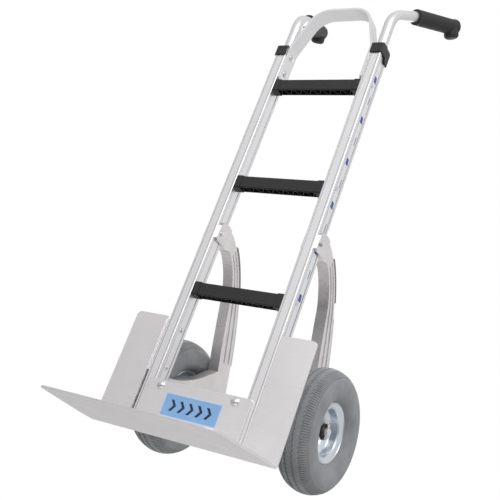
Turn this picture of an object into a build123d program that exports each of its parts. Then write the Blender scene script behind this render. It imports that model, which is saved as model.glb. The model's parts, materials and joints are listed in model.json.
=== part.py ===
"""Aluminium hand truck: ladder frame, toe plate, curved wheel brackets, two wheels.

Millimetres. +Z up, +X to the right as seen from the load side, +Y from the load side to the user.
The origin is the middle of the bounding box, on the floor.
"""

import os
from math import asin, cos, pi, radians, sin, tan

from build123d import *

# ---------------------------------------------------------------- driving dimensions
RAIL_SPAN = 282.0  # outer face to outer face of the two rails
RAIL_W = 28.0  # rail section along X
RAIL_D = 41.0  # rail section along Y
RAIL_BOTTOM = 8.0  # lower end of the rails above the floor
RAIL_TOP = 1000.0  # upper end of the rails
RAIL_WALL = 2.5
RAIL_OUT_WALL = 3.5  # thicker outer wall, it carries the outer recess
RECESS_W = 21.0  # width of the recesses along Y
RECESS_OUT = 1.2  # depth of the outer recess
RECESS_IN = 0.8  # depth of the inner recess
RECESS_FRONT = 0.5  # depth of the front recess
RECESS_FRONT_W = 17.0

TOE_DEPTH = 220.0  # from the rail front to the toe's leading edge
TOE_FRONT_HALF = 205.0  # half width at the leading edge
TOE_REAR_HALF = 225.0  # half width at the fold
TOE_TAPER_START = 55.0  # distance from the rail front where the sides begin to close in
TOE_CORNER_R = 24.0
SHEET_T = 5.0
FOLD_R = 5.0  # inner radius of the fold
CENTRE_TOP = 117.0  # top of the centre plate
CENTRE_HALF = 128.0
SLOT_W = 16.0  # relief slots beside the centre plate
SLOT_BOTTOM = 25.0
WING_TOP = 257.0
WING_CORNER_R = 10.0

RUNG_TOPS = (350.0, 627.0, 904.0)
RUNG_H = 33.0
RUNG_D = 27.0
RUNG_SETBACK = 1.0  # rung front behind the rail front
RUNG_COLLAR = 15.0
RUNG_WALL = 3.0

TUBE_R = 13.1
TUBE_WALL = 2.0
SPIGOT_R = 10.65  # the narrowed end of the handle tube, inside the rail
SPIGOT_LEN = 90.0
SHOULDER_T = 3.0  # where the tube narrows, resting on the rail
HANDLE_SPLAY = 18.8  # degrees outward from straight back
HANDLE_RISE = 1075.0  # height where the first bend starts
BEND1_R = 62.0
BEND1_END = 37.3  # slope after the first bend, degrees above horizontal
MID_RUN = 49.0
BEND2_R = 70.0
GRIP_SLOPE = 29.5
GRIP_RUN = 161.0
GRIP_R = 19.5
GRIP_END_R = 21.0
GRIP_HEEL = 31.0  # the stop under the grip's end, from the grip's middle line
GRIP_HEEL_R = 18.5
GRIP_HEEL_BACK = 19.5  # its middle, from the end of the grip

CAP_T = 3.0
CAP_TOP = 6.0
CAP_SKIRT_FRONT = 22.0
CAP_SKIRT_BACK = 32.0
CAP_COLLAR = 4.0
CAP_ROUND = 3.5
CAP_BACK_ROUND = 9.0

LOOP_T = 6.0
LOOP_W = 39.0
LOOP_FOOT = 906.0
LOOP_SHOULDER = 1001.0  # where the legs begin to lean in
LOOP_TOP = 1118.0
LOOP_TOP_HALF = 72.0
LOOP_BEND_R = 50.0
RIVET_ZS = (932.0, 982.0)

WHEEL_R = 132.5
WHEEL_W = 85.0
WHEEL_X = 190.0  # middle of each tyre
AXLE_BACK = 190.0  # axle behind the rail front
AXLE_R = 10.0
RIM_SEAT_R = 51.0
RIM_LIP_R = 65.0
RIM_LIP_X = 24.0
DISC_X = -8.0  # where the two rim halves meet, from the tyre's middle
RIM_T = 2.0
RIM_BOLT_R = 26.0
HUB_R = 14.0
HUB_IN = 43.0  # hub end towards the truck, from the tyre's middle
HUB_OUT = 8.0  # hub end away from the truck

ARM_W = 27.0  # wheel bracket along X
EAR_T = 5.0

# ---------------------------------------------------------------- clearances
FIT = 0.05  # radial running clearance, wheel bushing on the axle
HOLE = 0.05  # radial clearance of a fastener in its hole
GAP = 0.3  # between pieces that must not touch
SEAT = 0.02  # between pieces that rest on each other

# ---------------------------------------------------------------- derived
RF = (TOE_DEPTH - AXLE_BACK - WHEEL_R) / 2  # Y of the rails' front faces
RX = RAIL_SPAN / 2 - RAIL_W / 2  # X of a rail's middle
RAIL_IN = RAIL_SPAN / 2 - RAIL_W  # X of a rail's inner face
RAIL_OUT = RAIL_SPAN / 2
RAIL_MID_Y = RF + RAIL_D / 2
HOLLOW_IN = RAIL_IN + RAIL_WALL
HOLLOW_OUT = RAIL_OUT - RAIL_OUT_WALL
TUBE_X = (HOLLOW_IN + HOLLOW_OUT) / 2
AXLE_Y = RF + AXLE_BACK
AXLE_Z = WHEEL_R
RECESS_FLOOR = RAIL_OUT - RECESS_OUT

os.makedirs("parts", exist_ok=True)


def save(part, name):
    part.label = name
    export_step(part, "parts/" + name + ".step")


def side_plane(x):
    """A YZ plane at the given X: local x is +Y, local y is +Z."""
    return Plane(origin=(x, 0, 0), x_dir=(0, 1, 0), z_dir=(1, 0, 0))


def front_plane(y):
    """An XZ plane at the given Y: local x is +X, local y is +Z, extrudes towards -Y."""
    return Plane(origin=(0, y, 0), x_dir=(1, 0, 0), z_dir=(0, -1, 0))


def rod(x0, x1, y, z, r, mode=Mode.ADD):
    """A round bar along X from x0 to x1."""
    with BuildSketch(side_plane(min(x0, x1))) as disc:
        with Locations((y, z)):
            Circle(r)
    extrude(disc.sketch, amount=abs(x1 - x0), mode=mode)


def rod_y(y0, y1, x, z, r, mode=Mode.ADD):
    """A round bar along Y from y0 to y1."""
    with BuildSketch(front_plane(max(y0, y1))) as disc:
        with Locations((x, z)):
            Circle(r)
    extrude(disc.sketch, amount=abs(y1 - y0), mode=mode)


def hexagon(x0, x1, y, z, across, mode=Mode.ADD):
    """A hexagonal bar along X."""
    with BuildSketch(side_plane(min(x0, x1))) as nut:
        with Locations((y, z)):
            RegularPolygon(across / 2, 6, major_radius=False)
    extrude(nut.sketch, amount=abs(x1 - x0), mode=mode)


def turned(points, x, y, z, sign=1.0, mode=Mode.ADD):
    """Turns a profile of (x along the axle, radius) points about an X axis through (x, y, z)."""
    plane = Plane(origin=(x, y, z), x_dir=(1, 0, 0), z_dir=(0, -1, 0))
    with BuildSketch(plane) as profile:
        with BuildLine():
            Polyline(*[(sign * a, r) for a, r in points], close=True)
        make_face()
    revolve(profile.sketch, axis=Axis((x, y, z), (1, 0, 0)), mode=mode)


def cap_heights(r, h):
    """For a round head: the height of its straight rim, and a (height, radius) point half way up its ball."""
    low = 0.2 * h
    rise = h - low
    ball = (r * r + rise * rise) / (2 * rise)
    half = asin(r / ball) / 2
    return low, (h - ball + ball * cos(half), ball * sin(half))


def dome(x, y, z, r, h, sign, shank_r=0.0, shank=0.0):
    """A round head whose flat side is at x and whose top points along sign * X, with a shank behind it."""
    plane = Plane(origin=(x, y, z), x_dir=(1, 0, 0), z_dir=(0, -1, 0))
    with BuildSketch(plane) as profile:
        with BuildLine():
            Line((0, 0), (0, r))
            low, mid = cap_heights(r, h)
            Line((0, r), (sign * low, r))
            ThreePointArc((sign * low, r), (sign * mid[0], mid[1]), (sign * h, 0))
            Line((sign * h, 0), (0, 0))
        make_face()
    revolve(profile.sketch, axis=Axis((x, y, z), (1, 0, 0)))
    if shank:
        rod(x, x - sign * shank, y, z, shank_r)


def dome_y(x, y, z, r, h, shank_r, shank, sign=-1.0):
    """A round head facing sign * Y whose flat side is at y, with a shank the other way."""
    plane = Plane(origin=(x, y, z), x_dir=(1, 0, 0), z_dir=(0, 0, 1))
    with BuildSketch(plane) as profile:
        with BuildLine():
            Line((0, 0), (r, 0))
            low, mid = cap_heights(r, h)
            Line((r, 0), (r, sign * low))
            ThreePointArc((r, sign * low), (mid[1], sign * mid[0]), (0, sign * h))
            Line((0, sign * h), (0, 0))
        make_face()
    revolve(profile.sketch, axis=Axis((x, y, z), (0, 1, 0)))
    rod_y(y, y - sign * shank, x, z, shank_r)


def hexagon_y(y0, y1, x, z, across, mode=Mode.ADD):
    """A hexagonal bar along Y."""
    with BuildSketch(front_plane(max(y0, y1))) as nut:
        with Locations((x, z)):
            RegularPolygon(across / 2, 6, major_radius=False)
    extrude(nut.sketch, amount=abs(y1 - y0), mode=mode)


def block(x0, x1, y0, y1, z0, z1, mode=Mode.ADD, r=0.0):
    """A box between limits, its vertical edges rounded by r."""
    with BuildSketch(Plane.XY.offset(z0)) as base:
        with Locations(((x0 + x1) / 2, (y0 + y1) / 2)):
            Rectangle(abs(x1 - x0), y1 - y0)
        if r:
            fillet(base.vertices(), r)
    extrude(base.sketch, amount=z1 - z0, mode=mode)


def prism(x0, x1, points, mode=Mode.ADD):
    """A straight-sided YZ outline, with Y counted from the rail fronts, extruded along X."""
    with BuildSketch(side_plane(min(x0, x1))) as face:
        with BuildLine():
            Polyline(*[(RF + a, b) for a, b in points], close=True)
        make_face()
    extrude(face.sketch, amount=abs(x1 - x0), mode=mode)


# ---------------------------------------------------------------- rails
RUNG_ZS = [top - RUNG_H / 2 for top in RUNG_TOPS]
RUNG_AXIS_Y = RF + RUNG_SETBACK + RUNG_D / 2
PIN_DROP = 9.0  # locating pin below the rung screw
SCREW_RISE = 4.0
PIN_LEN = 1.6
M6 = 3.0
GUARD_BOLT_ZS = (149.0, 237.0)
EAR_BOLT_Z = 480.0
FOOT_BOLT_ZS = (52.0, 98.0)
CAP_SCREW_Z = RAIL_TOP - CAP_SKIRT_BACK / 2
CAP_SCREW_R = 2.0


def rail(side):
    """side is -1 for the left rail and +1 for the right one."""
    with BuildPart() as piece:
        with BuildSketch(Plane.XY.offset(RAIL_BOTTOM)) as section:
            with Locations((side * RX, RAIL_MID_Y)):
                Rectangle(RAIL_W, RAIL_D)
            fillet(section.vertices(), 2.2)
            with Locations((side * TUBE_X, RAIL_MID_Y)):
                Rectangle(HOLLOW_OUT - HOLLOW_IN, RAIL_D - 2 * RAIL_WALL, mode=Mode.SUBTRACT)
            with Locations((side * RAIL_OUT, RAIL_MID_Y)):
                Rectangle(2 * RECESS_OUT, RECESS_W, mode=Mode.SUBTRACT)
            with Locations((side * RAIL_IN, RAIL_MID_Y)):
                Rectangle(2 * RECESS_IN, RECESS_W, mode=Mode.SUBTRACT)
            with Locations((side * RX, RF)):
                Rectangle(RECESS_FRONT_W, 2 * RECESS_FRONT, mode=Mode.SUBTRACT)
        extrude(section.sketch, amount=RAIL_TOP - RAIL_BOTTOM)
        inner, outer = side * (RAIL_IN - 1), side * (RAIL_OUT + 1)
        for z in RIVET_ZS:
            rod(inner, side * TUBE_X, RAIL_MID_Y, z, M6 + HOLE, Mode.SUBTRACT)
        for z in RUNG_ZS:
            rod(inner, outer, RUNG_AXIS_Y, z + SCREW_RISE, M6 + HOLE, Mode.SUBTRACT)
            rod(inner, side * RX, RUNG_AXIS_Y, z - PIN_DROP, M6 + HOLE, Mode.SUBTRACT)
        for z in GUARD_BOLT_ZS + (EAR_BOLT_Z,) + FOOT_BOLT_ZS:
            rod(inner, outer, RAIL_MID_Y, z, M6 + HOLE, Mode.SUBTRACT)
        back = RF + RAIL_D
        rod_y(back - 5, back + 1, side * TUBE_X, CAP_SCREW_Z, CAP_SCREW_R + HOLE, Mode.SUBTRACT)
    return piece


rail_left = rail(-1)
save(rail_left.part, "rail_left")
rail_right = rail(1)
save(rail_right.part, "rail_right")

# ---------------------------------------------------------------- crossbars
RIB_T = 1.8
RIB_PITCH = 13.0


def crossbar(top):
    """A moulded rung, hollow from below, with a zigzag of ribs and a thick collar at each end."""
    half = RAIL_IN - SEAT
    front, back = RF + RUNG_SETBACK, RF + RUNG_SETBACK + RUNG_D
    low = top - RUNG_H
    lip = 1.5
    bay = half - RUNG_COLLAR
    with BuildPart() as piece:
        with BuildSketch(side_plane(-half)) as section:
            with Locations(((front + back) / 2, (low + top) / 2)):
                Rectangle(RUNG_D - 2 * lip, RUNG_H - 2 * lip)
            fillet(section.vertices(), 2.5)
        extrude(section.sketch, amount=2 * half)
        for x in (-half, bay):
            with BuildSketch(side_plane(x)) as collar:
                with Locations(((front + back) / 2, (low + top) / 2)):
                    Rectangle(RUNG_D, RUNG_H)
                fillet(collar.vertices(), 3.5)
            extrude(collar.sketch, amount=RUNG_COLLAR)
        wall = lip + RUNG_WALL
        block(-bay, bay, front + wall, back - wall, low - 1, top - wall, Mode.SUBTRACT)
        count = round(2 * bay / RIB_PITCH)
        step = 2 * bay / count
        y0, y1 = front + wall - 0.5, back - wall + 0.5
        for i in range(count):
            a, b = (y0, y1) if i % 2 else (y1, y0)
            x = -bay + i * step
            with BuildSketch(Plane.XY.offset(low + lip + 1.0)) as rib:
                with BuildLine():
                    Polyline((x, a), (x + RIB_T, a), (x + step, b), (x + step - RIB_T, b), close=True)
                make_face()
            extrude(rib.sketch, amount=RUNG_H - 2 * lip - RUNG_WALL - 0.5)
        mid = top - RUNG_H / 2
        for side in (-1, 1):
            end = side * half
            rod(end, end - side * (RUNG_COLLAR - 1), RUNG_AXIS_Y, mid + SCREW_RISE, M6 + HOLE, Mode.SUBTRACT)
            rod(end - side, end + side * PIN_LEN, RUNG_AXIS_Y, mid - PIN_DROP, M6)
    return piece


crossbar_bottom = crossbar(RUNG_TOPS[0])
save(crossbar_bottom.part, "crossbar_bottom")
crossbar_middle = crossbar(RUNG_TOPS[1])
save(crossbar_middle.part, "crossbar_middle")
crossbar_top = crossbar(RUNG_TOPS[2])
save(crossbar_top.part, "crossbar_top")

with BuildPart() as crossbar_screws:
    for side in (-1, 1):
        for z in RUNG_ZS:
            face = side * (RECESS_FLOOR + SEAT)
            reach = RECESS_FLOOR - RAIL_IN + RUNG_COLLAR - 3
            dome(face, RUNG_AXIS_Y, z + SCREW_RISE, 5.0, 2.4, side, M6, reach)
save(crossbar_screws.part, "crossbar_screws")

# ---------------------------------------------------------------- printed strips in the outer recesses
STRIP_T = 0.5
STRIP_W = 17.0
STRIP_LOW = 264.0
STRIP_HIGH = 944.0


def strip(side):
    a = side * (RECESS_FLOOR + SEAT)
    b = a + side * STRIP_T
    with BuildPart() as piece:
        block(a, b, RAIL_MID_Y - STRIP_W / 2, RAIL_MID_Y + STRIP_W / 2, STRIP_LOW, STRIP_HIGH)
        for z in RUNG_ZS:
            rod(a - side, b + side, RUNG_AXIS_Y, z + SCREW_RISE, 6.0, Mode.SUBTRACT)
        rod(a - side, b + side, RAIL_MID_Y, EAR_BOLT_Z, 4.0, Mode.SUBTRACT)
    return piece


strip_left = strip(-1)
save(strip_left.part, "strip_left")
strip_right = strip(1)
save(strip_right.part, "strip_right")

# ---------------------------------------------------------------- handles


def handle_frame(side):
    """The upright plane that a handle is bent in: local x runs back and outward, local y is up."""
    a = radians(HANDLE_SPLAY)
    return Plane(
        origin=(side * TUBE_X, RAIL_MID_Y, 0),
        x_dir=(side * sin(a), cos(a), 0),
        z_dir=(cos(a), -side * sin(a), 0),
    )


def handle_points():
    """Ends and middles of the handle's straights and bends, in the plane of the handle."""
    e1, e2 = radians(BEND1_END), radians(GRIP_SLOPE)
    start = (0.0, RAIL_TOP + SEAT)
    p1 = (0.0, HANDLE_RISE)

    def on_first(a):
        return (BEND1_R * (1 - cos(a)), HANDLE_RISE + BEND1_R * sin(a))

    turn = pi / 2 - e1
    p2m, p2 = on_first(turn / 2), on_first(turn)
    d1 = (cos(e1), sin(e1))
    p3 = (p2[0] + MID_RUN * d1[0], p2[1] + MID_RUN * d1[1])
    centre = (p3[0] + BEND2_R * sin(e1), p3[1] - BEND2_R * cos(e1))

    def on_second(a):
        return (
            centre[0] + BEND2_R * (-sin(e1) * cos(a) + cos(e1) * sin(a)),
            centre[1] + BEND2_R * (cos(e1) * cos(a) + sin(e1) * sin(a)),
        )

    p4m, p4 = on_second((e1 - e2) / 2), on_second(e1 - e2)
    return start, p1, p2m, p2, p3, p4m, p4, (cos(e2), sin(e2))


GRIP_END_WALL = 4.0


def handle_tube(side):
    start, p1, p2m, p2, p3, p4m, p4, d = handle_points()
    run = GRIP_RUN - GAP
    with BuildPart() as piece:
        with BuildLine(handle_frame(side)) as path:
            Line(start, p1)
            ThreePointArc(p1, p2m, p2)
            Line(p2, p3)
            ThreePointArc(p3, p4m, p4)
            Line(p4, (p4[0] + run * d[0], p4[1] + run * d[1]))
        with BuildSketch(Plane.XY.offset(start[1])) as ring:
            with Locations((side * TUBE_X, RAIL_MID_Y)):
                Circle(TUBE_R)
                Circle(TUBE_R - TUBE_WALL, mode=Mode.SUBTRACT)
        sweep(ring.sketch, path=path.wires()[0])
        low = RAIL_TOP - SPIGOT_LEN
        for z0, z1, r in ((low, start[1] + SHOULDER_T, SPIGOT_R), (start[1], start[1] + SHOULDER_T, TUBE_R)):
            with BuildSketch(Plane.XY.offset(z0)) as sleeve:
                with Locations((side * TUBE_X, RAIL_MID_Y)):
                    Circle(r)
                    Circle(SPIGOT_R - TUBE_WALL, mode=Mode.SUBTRACT)
            extrude(sleeve.sketch, amount=z1 - z0)
        for z in RIVET_ZS:
            inner = side * (TUBE_X - SPIGOT_R - 1)
            rod(inner, side * TUBE_X, RAIL_MID_Y, z, M6 + HOLE, Mode.SUBTRACT)
    return piece


def grip(side):
    """A rubber sleeve with rings round it, closed and thickened at its end."""
    _, _, _, _, _, _, p4, d = handle_points()
    frame = handle_frame(side)
    origin = frame.from_local_coords(Vector(p4[0], p4[1], 0))
    axis = frame.from_local_coords(Vector(p4[0] + d[0], p4[1] + d[1], 0)) - origin
    plane = Plane(origin=origin, x_dir=axis, z_dir=frame.z_dir)
    bore = TUBE_R + SEAT
    groove, pitch = 0.9, 8.0
    points = [(0, bore), (0, GRIP_R - 1.5), (1.5, GRIP_R)]
    s = 12.0
    while s < GRIP_RUN - 22:
        points += [(s, GRIP_R), (s + 0.7, GRIP_R - groove), (s + 1.7, GRIP_R - groove), (s + 2.4, GRIP_R)]
        s += pitch
    end = GRIP_RUN + GRIP_END_WALL
    points += [
        (end - 20, GRIP_R), (end - 14, GRIP_END_R - 0.6), (end - 11, GRIP_END_R), (end - 6, GRIP_END_R),
        (end - 2.5, GRIP_END_R - 2.5), (end - 0.7, GRIP_END_R - 7), (end, 0), (GRIP_RUN, 0), (GRIP_RUN, bore),
    ]
    heel_at = origin + axis * (end - GRIP_HEEL_BACK)
    down = axis.cross(frame.z_dir)
    if down.Z > 0:
        down = -down
    with BuildPart() as piece:
        with BuildSketch(plane) as profile:
            with BuildLine():
                Polyline(*points, close=True)
            make_face()
        revolve(profile.sketch, axis=Axis(origin, axis))
        with BuildSketch(Plane(origin=heel_at, x_dir=axis, z_dir=down)) as heel:
            Circle(GRIP_HEEL_R)
        extrude(heel.sketch, amount=GRIP_HEEL)
        tip = tuple(heel_at + down * GRIP_HEEL)
        fillet(piece.edges().filter_by(GeomType.CIRCLE).sort_by_distance(tip)[0], GRIP_HEEL_R / 2)
        with BuildSketch(Plane(origin=origin, x_dir=frame.z_dir, z_dir=axis)) as hole:
            Circle(bore)
        extrude(hole.sketch, amount=GRIP_RUN, mode=Mode.SUBTRACT)
    return piece


handle_left = handle_tube(-1)
save(handle_left.part, "handle_left")
handle_right = handle_tube(1)
save(handle_right.part, "handle_right")
grip_left = grip(-1)
save(grip_left.part, "grip_left")
grip_right = grip(1)
save(grip_right.part, "grip_right")

# ---------------------------------------------------------------- rail caps


def rail_cap(side):
    a, b = RAIL_IN + SEAT, RAIL_OUT + CAP_T
    y0, y1 = RF - CAP_T, RF + RAIL_D + CAP_T
    top = RAIL_TOP + CAP_TOP
    skirt = RAIL_TOP - CAP_SKIRT_BACK
    k = 1 - cos(pi / 4)
    with BuildPart() as piece:
        with BuildSketch(side_plane(min(side * a, side * b))) as shape:
            with BuildLine():
                r = CAP_ROUND
                Line((y0, skirt), (y0, top - r))
                ThreePointArc((y0, top - r), (y0 + r * k, top - r * k), (y0 + r, top))
                Line((y0 + r, top), (y1 - CAP_BACK_ROUND, top))
                r = CAP_BACK_ROUND
                ThreePointArc((y1 - r, top), (y1 - r * k, top - r * k), (y1, top - r))
                Line((y1, top - r), (y1, skirt))
                Line((y1, skirt), (y0, skirt))
            make_face()
        extrude(shape.sketch, amount=b - a)
        flat = [e for e in piece.edges() if e.bounding_box().size.X < 0.01]
        rim = [e for e in flat if abs(e.center().X) > b - 0.01]
        fillet([e for e in rim if e.center().Z > skirt + 0.5], CAP_ROUND)
        with BuildSketch(Plane.XY.offset(top - 2)) as collar:
            with Locations((side * TUBE_X, RAIL_MID_Y)):
                Circle(TUBE_R + 2.4)
        extrude(collar.sketch, amount=2 + CAP_COLLAR, taper=8)
        # the loop's leg passes close inside
        block(side * (a - TUBE_R), side * a, y0, y1, RAIL_TOP, top + CAP_COLLAR + 1, Mode.SUBTRACT)
        y_in = RAIL_D + SEAT
        block(
            side * (a - 1), side * (RAIL_OUT + SEAT), RF - SEAT, RF + y_in,
            RAIL_TOP - CAP_SKIRT_BACK - 1, RAIL_TOP + SEAT, Mode.SUBTRACT,
        )
        with BuildSketch(Plane.XY.offset(RAIL_TOP - 1)) as bore:
            with Locations((side * TUBE_X, RAIL_MID_Y)):
                Circle(TUBE_R + HOLE)
        extrude(bore.sketch, amount=CAP_TOP + CAP_COLLAR + 3, mode=Mode.SUBTRACT)
        cut = RAIL_TOP - CAP_SKIRT_FRONT
        low = RAIL_TOP - CAP_SKIRT_BACK - 1
        outline = [(-CAP_T - 1, low), (RAIL_D - 13, low), (RAIL_D - 20, cut), (-CAP_T - 1, cut)]
        prism(side * (a - 1), side * (b + 1), outline, Mode.SUBTRACT)
        back = RF + RAIL_D
        rod_y(back - 1, back + CAP_T + 1, side * TUBE_X, CAP_SCREW_Z, CAP_SCREW_R + HOLE, Mode.SUBTRACT)
    return piece


rail_cap_left = rail_cap(-1)
save(rail_cap_left.part, "rail_cap_left")
rail_cap_right = rail_cap(1)
save(rail_cap_right.part, "rail_cap_right")

with BuildPart() as cap_screws:
    for side in (-1, 1):
        y = RF + RAIL_D + CAP_T + SEAT
        dome_y(side * TUBE_X, y, CAP_SCREW_Z, 4.2, 2.2, CAP_SCREW_R, CAP_T + RAIL_WALL + 1, 1.0)
save(cap_screws.part, "cap_screws")

# ---------------------------------------------------------------- top loop
LOOP_X = RAIL_IN - SEAT
LOOP_LEAN = (LOOP_X - LOOP_TOP_HALF) / (LOOP_TOP - LOOP_SHOULDER)


def loop_corners(t):
    """Corner points of the strap's middle bends, moved inward by t."""
    from_side = t * tan(pi / 4 - lean_angle() / 2)
    return [
        (LOOP_X - t, LOOP_FOOT),
        (LOOP_X - t, LOOP_SHOULDER - t * tan(lean_angle() / 2)),
        (LOOP_TOP_HALF - from_side, LOOP_TOP - t),
    ]


def lean_angle():
    """Angle of the leaning part of the legs from upright."""
    length = (LOOP_LEAN**2 + 1) ** 0.5
    angle, target = 0.0, LOOP_LEAN / length
    for _ in range(40):
        angle += (target - sin(angle)) / cos(angle)
    return angle


with BuildPart() as top_loop:
    with BuildSketch(front_plane(RAIL_MID_Y + LOOP_W / 2)) as strap:
        with BuildLine():
            out, inn = loop_corners(0.0), loop_corners(LOOP_T)
            full_out = [(-x, z) for x, z in out] + [(x, z) for x, z in reversed(out)]
            full_in = [(-x, z) for x, z in inn] + [(x, z) for x, z in reversed(inn)]
            FilletPolyline(*full_out, radius=LOOP_BEND_R + LOOP_T)
            FilletPolyline(*full_in, radius=LOOP_BEND_R)
            Line(full_out[0], full_in[0])
            Line(full_out[-1], full_in[-1])
        make_face()
    extrude(strap.sketch, amount=LOOP_W)
    foot = top_loop.edges().filter_by(Axis.X).group_by(Axis.Z)[0]
    chamfer(foot, 5.0)
    for side in (-1, 1):
        for z in RIVET_ZS:
            rod(side * (LOOP_X + 1), side * (LOOP_X - LOOP_T - 1), RAIL_MID_Y, z, M6 + HOLE, Mode.SUBTRACT)
save(top_loop.part, "top_loop")

with BuildPart() as loop_rivets:
    for side in (-1, 1):
        for z in RIVET_ZS:
            face = LOOP_X - LOOP_T - SEAT
            tail = TUBE_X - SPIGOT_R + TUBE_WALL + 1.4
            dome(side * face, RAIL_MID_Y, z, 8.5, 4.0, -side, M6, tail + 2.6 - face)
            rod(side * tail, side * (tail + 2.6), RAIL_MID_Y, z, 4.3)
save(loop_rivets.part, "loop_rivets")

# ---------------------------------------------------------------- toe plate with centre plate and wings
TOE_BOLT_X = 92.0
TOE_BOLT_ZS = (106.0,)
M8 = 4.0
LIP_LEN = 18.0  # bevel of the leading edge
LIP_DROP = 2.5

with BuildPart() as toe_plate:
    with BuildSketch(side_plane(-TOE_REAR_HALF)) as fold:
        with BuildLine():
            r_in, r_out = FOLD_R, FOLD_R + SHEET_T
            front, back = RF - TOE_DEPTH, RF - SEAT
            k = cos(pi / 4)
            Line((front, 0), (back - r_out, 0))
            ThreePointArc((back - r_out, 0), (back - r_out * (1 - k), r_out * (1 - k)), (back, r_out))
            Line((back, r_out), (back, WING_TOP))
            Line((back, WING_TOP), (back - SHEET_T, WING_TOP))
            Line((back - SHEET_T, WING_TOP), (back - SHEET_T, r_out))
            ThreePointArc(
                (back - SHEET_T, r_out),
                (back - r_out + r_in * k, r_out - r_in * k),
                (back - r_out, SHEET_T),
            )
            Line((back - r_out, SHEET_T), (front + LIP_LEN, SHEET_T))
            Line((front + LIP_LEN, SHEET_T), (front, SHEET_T - LIP_DROP))
            Line((front, SHEET_T - LIP_DROP), (front, 0))
        make_face()
    extrude(fold.sketch, amount=2 * TOE_REAR_HALF)
    # the outline of the toe: straight at the fold, closing in towards a round-cornered front edge
    with BuildSketch(Plane.XY.offset(-1)) as outline:
        with BuildLine():
            pts = [(-TOE_REAR_HALF, RF + 1), (-TOE_REAR_HALF, RF - TOE_TAPER_START)]
            pts += [(-TOE_FRONT_HALF, RF - TOE_DEPTH)]
            Polyline(*pts, *[(-x, y) for x, y in reversed(pts)], close=True)
        make_face()
        front_edge = outline.vertices().group_by(Axis.Y)[0]
        fillet(front_edge, TOE_CORNER_R)
    extrude(outline.sketch, amount=WING_TOP + 2, mode=Mode.INTERSECT)
    block(-CENTRE_HALF, CENTRE_HALF, RF - 20, RF + 5, CENTRE_TOP, WING_TOP + 1, Mode.SUBTRACT)
    for side in (-1, 1):
        a, b = side * (CENTRE_HALF - 0.01), side * (CENTRE_HALF + SLOT_W)
        block(a, b, RF - 7, RF + 5, SLOT_BOTTOM, WING_TOP + 1, Mode.SUBTRACT)
        for z in TOE_BOLT_ZS:
            rod_y(RF - 20, RF + 5, side * TOE_BOLT_X, z, M8 + HOLE, Mode.SUBTRACT)
    uprights = toe_plate.edges().filter_by(Axis.Y)
    wing_corners = [
        e for e in uprights if abs(e.center().Z - WING_TOP) < 1 and abs(abs(e.center().X) - TOE_REAR_HALF) < 1
    ]
    fillet(wing_corners, WING_CORNER_R)
    centre_corners = [
        e for e in toe_plate.edges().filter_by(Axis.Y)
        if abs(e.center().Z - CENTRE_TOP) < 1 and abs(abs(e.center().X) - CENTRE_HALF) < 1
    ]
    fillet(centre_corners, 4.0)
save(toe_plate.part, "toe_plate")

with BuildPart() as toe_bolts:
    for side in (-1, 1):
        for z in TOE_BOLT_ZS:
            dome_y(side * TOE_BOLT_X, RF - SHEET_T - 2 * SEAT, z, 9.5, 4.6, M8, SHEET_T + 13.0)
save(toe_bolts.part, "toe_bolts")

LABEL_HALF = 70.0
LABEL_LOW = 44.0
LABEL_HIGH = 94.0
LABEL_T = 0.5
with BuildPart() as label_plate:
    with BuildSketch(front_plane(RF - SHEET_T - 2 * SEAT)) as plate:
        with Locations((0, (LABEL_LOW + LABEL_HIGH) / 2)):
            RectangleRounded(2 * LABEL_HALF, LABEL_HIGH - LABEL_LOW, 3.0)
    extrude(plate.sketch, amount=LABEL_T)
save(label_plate.part, "label_plate")

# ---------------------------------------------------------------- base channel behind the centre plate
BASE_T = 4.0
BASE_D = 29.0
BASE_LOW = 22.0
BASE_HALF = RAIL_IN - SEAT
with BuildPart() as base_channel:
    block(-BASE_HALF, BASE_HALF, RF + SEAT, RF + BASE_D, BASE_LOW, CENTRE_TOP - 1)
    inner_half = BASE_HALF - BASE_T
    block(
        -inner_half, inner_half, RF + SEAT + BASE_T, RF + BASE_D + 1,
        BASE_LOW + BASE_T, CENTRE_TOP, Mode.SUBTRACT,
    )
    for side in (-1, 1):
        for z in TOE_BOLT_ZS:
            rod_y(RF - 1, RF + BASE_T + 1, side * TOE_BOLT_X, z, M8 + HOLE, Mode.SUBTRACT)
        for z in FOOT_BOLT_ZS:
            rod(side * (inner_half - 1), side * (BASE_HALF + 1), RAIL_MID_Y, z, M6 + HOLE, Mode.SUBTRACT)
save(base_channel.part, "base_channel")

NUT_T = 6.5
with BuildPart() as toe_nuts:
    for side in (-1, 1):
        for z in TOE_BOLT_ZS:
            y = RF + BASE_T + 2 * SEAT
            hexagon_y(y, y + NUT_T, side * TOE_BOLT_X, z, 13.0)
            rod_y(y - 1, y + NUT_T + 1, side * TOE_BOLT_X, z, M8 + SEAT, Mode.SUBTRACT)
save(toe_nuts.part, "toe_nuts")

# ---------------------------------------------------------------- angles that stiffen the wings
ANGLE_T = 3.0
ANGLE_LEG = 26.0
ANGLE_LOW = 134.0
ANGLE_HIGH = 252.0
with BuildPart() as guard_angles:
    for side in (-1, 1):
        a = RAIL_OUT + SEAT
        x_far = side * (a + ANGLE_LEG)
        block(side * a, side * (a + ANGLE_T), RF + SEAT, RF + 32.0, ANGLE_LOW, ANGLE_HIGH)
        block(side * a, x_far, RF + SEAT, RF + SEAT + ANGLE_T, ANGLE_LOW, ANGLE_HIGH)
        for z in GUARD_BOLT_ZS:
            rod(side * (a - 1), side * (a + ANGLE_T + 1), RAIL_MID_Y, z, M6 + HOLE, Mode.SUBTRACT)
save(guard_angles.part, "guard_angles")

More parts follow.
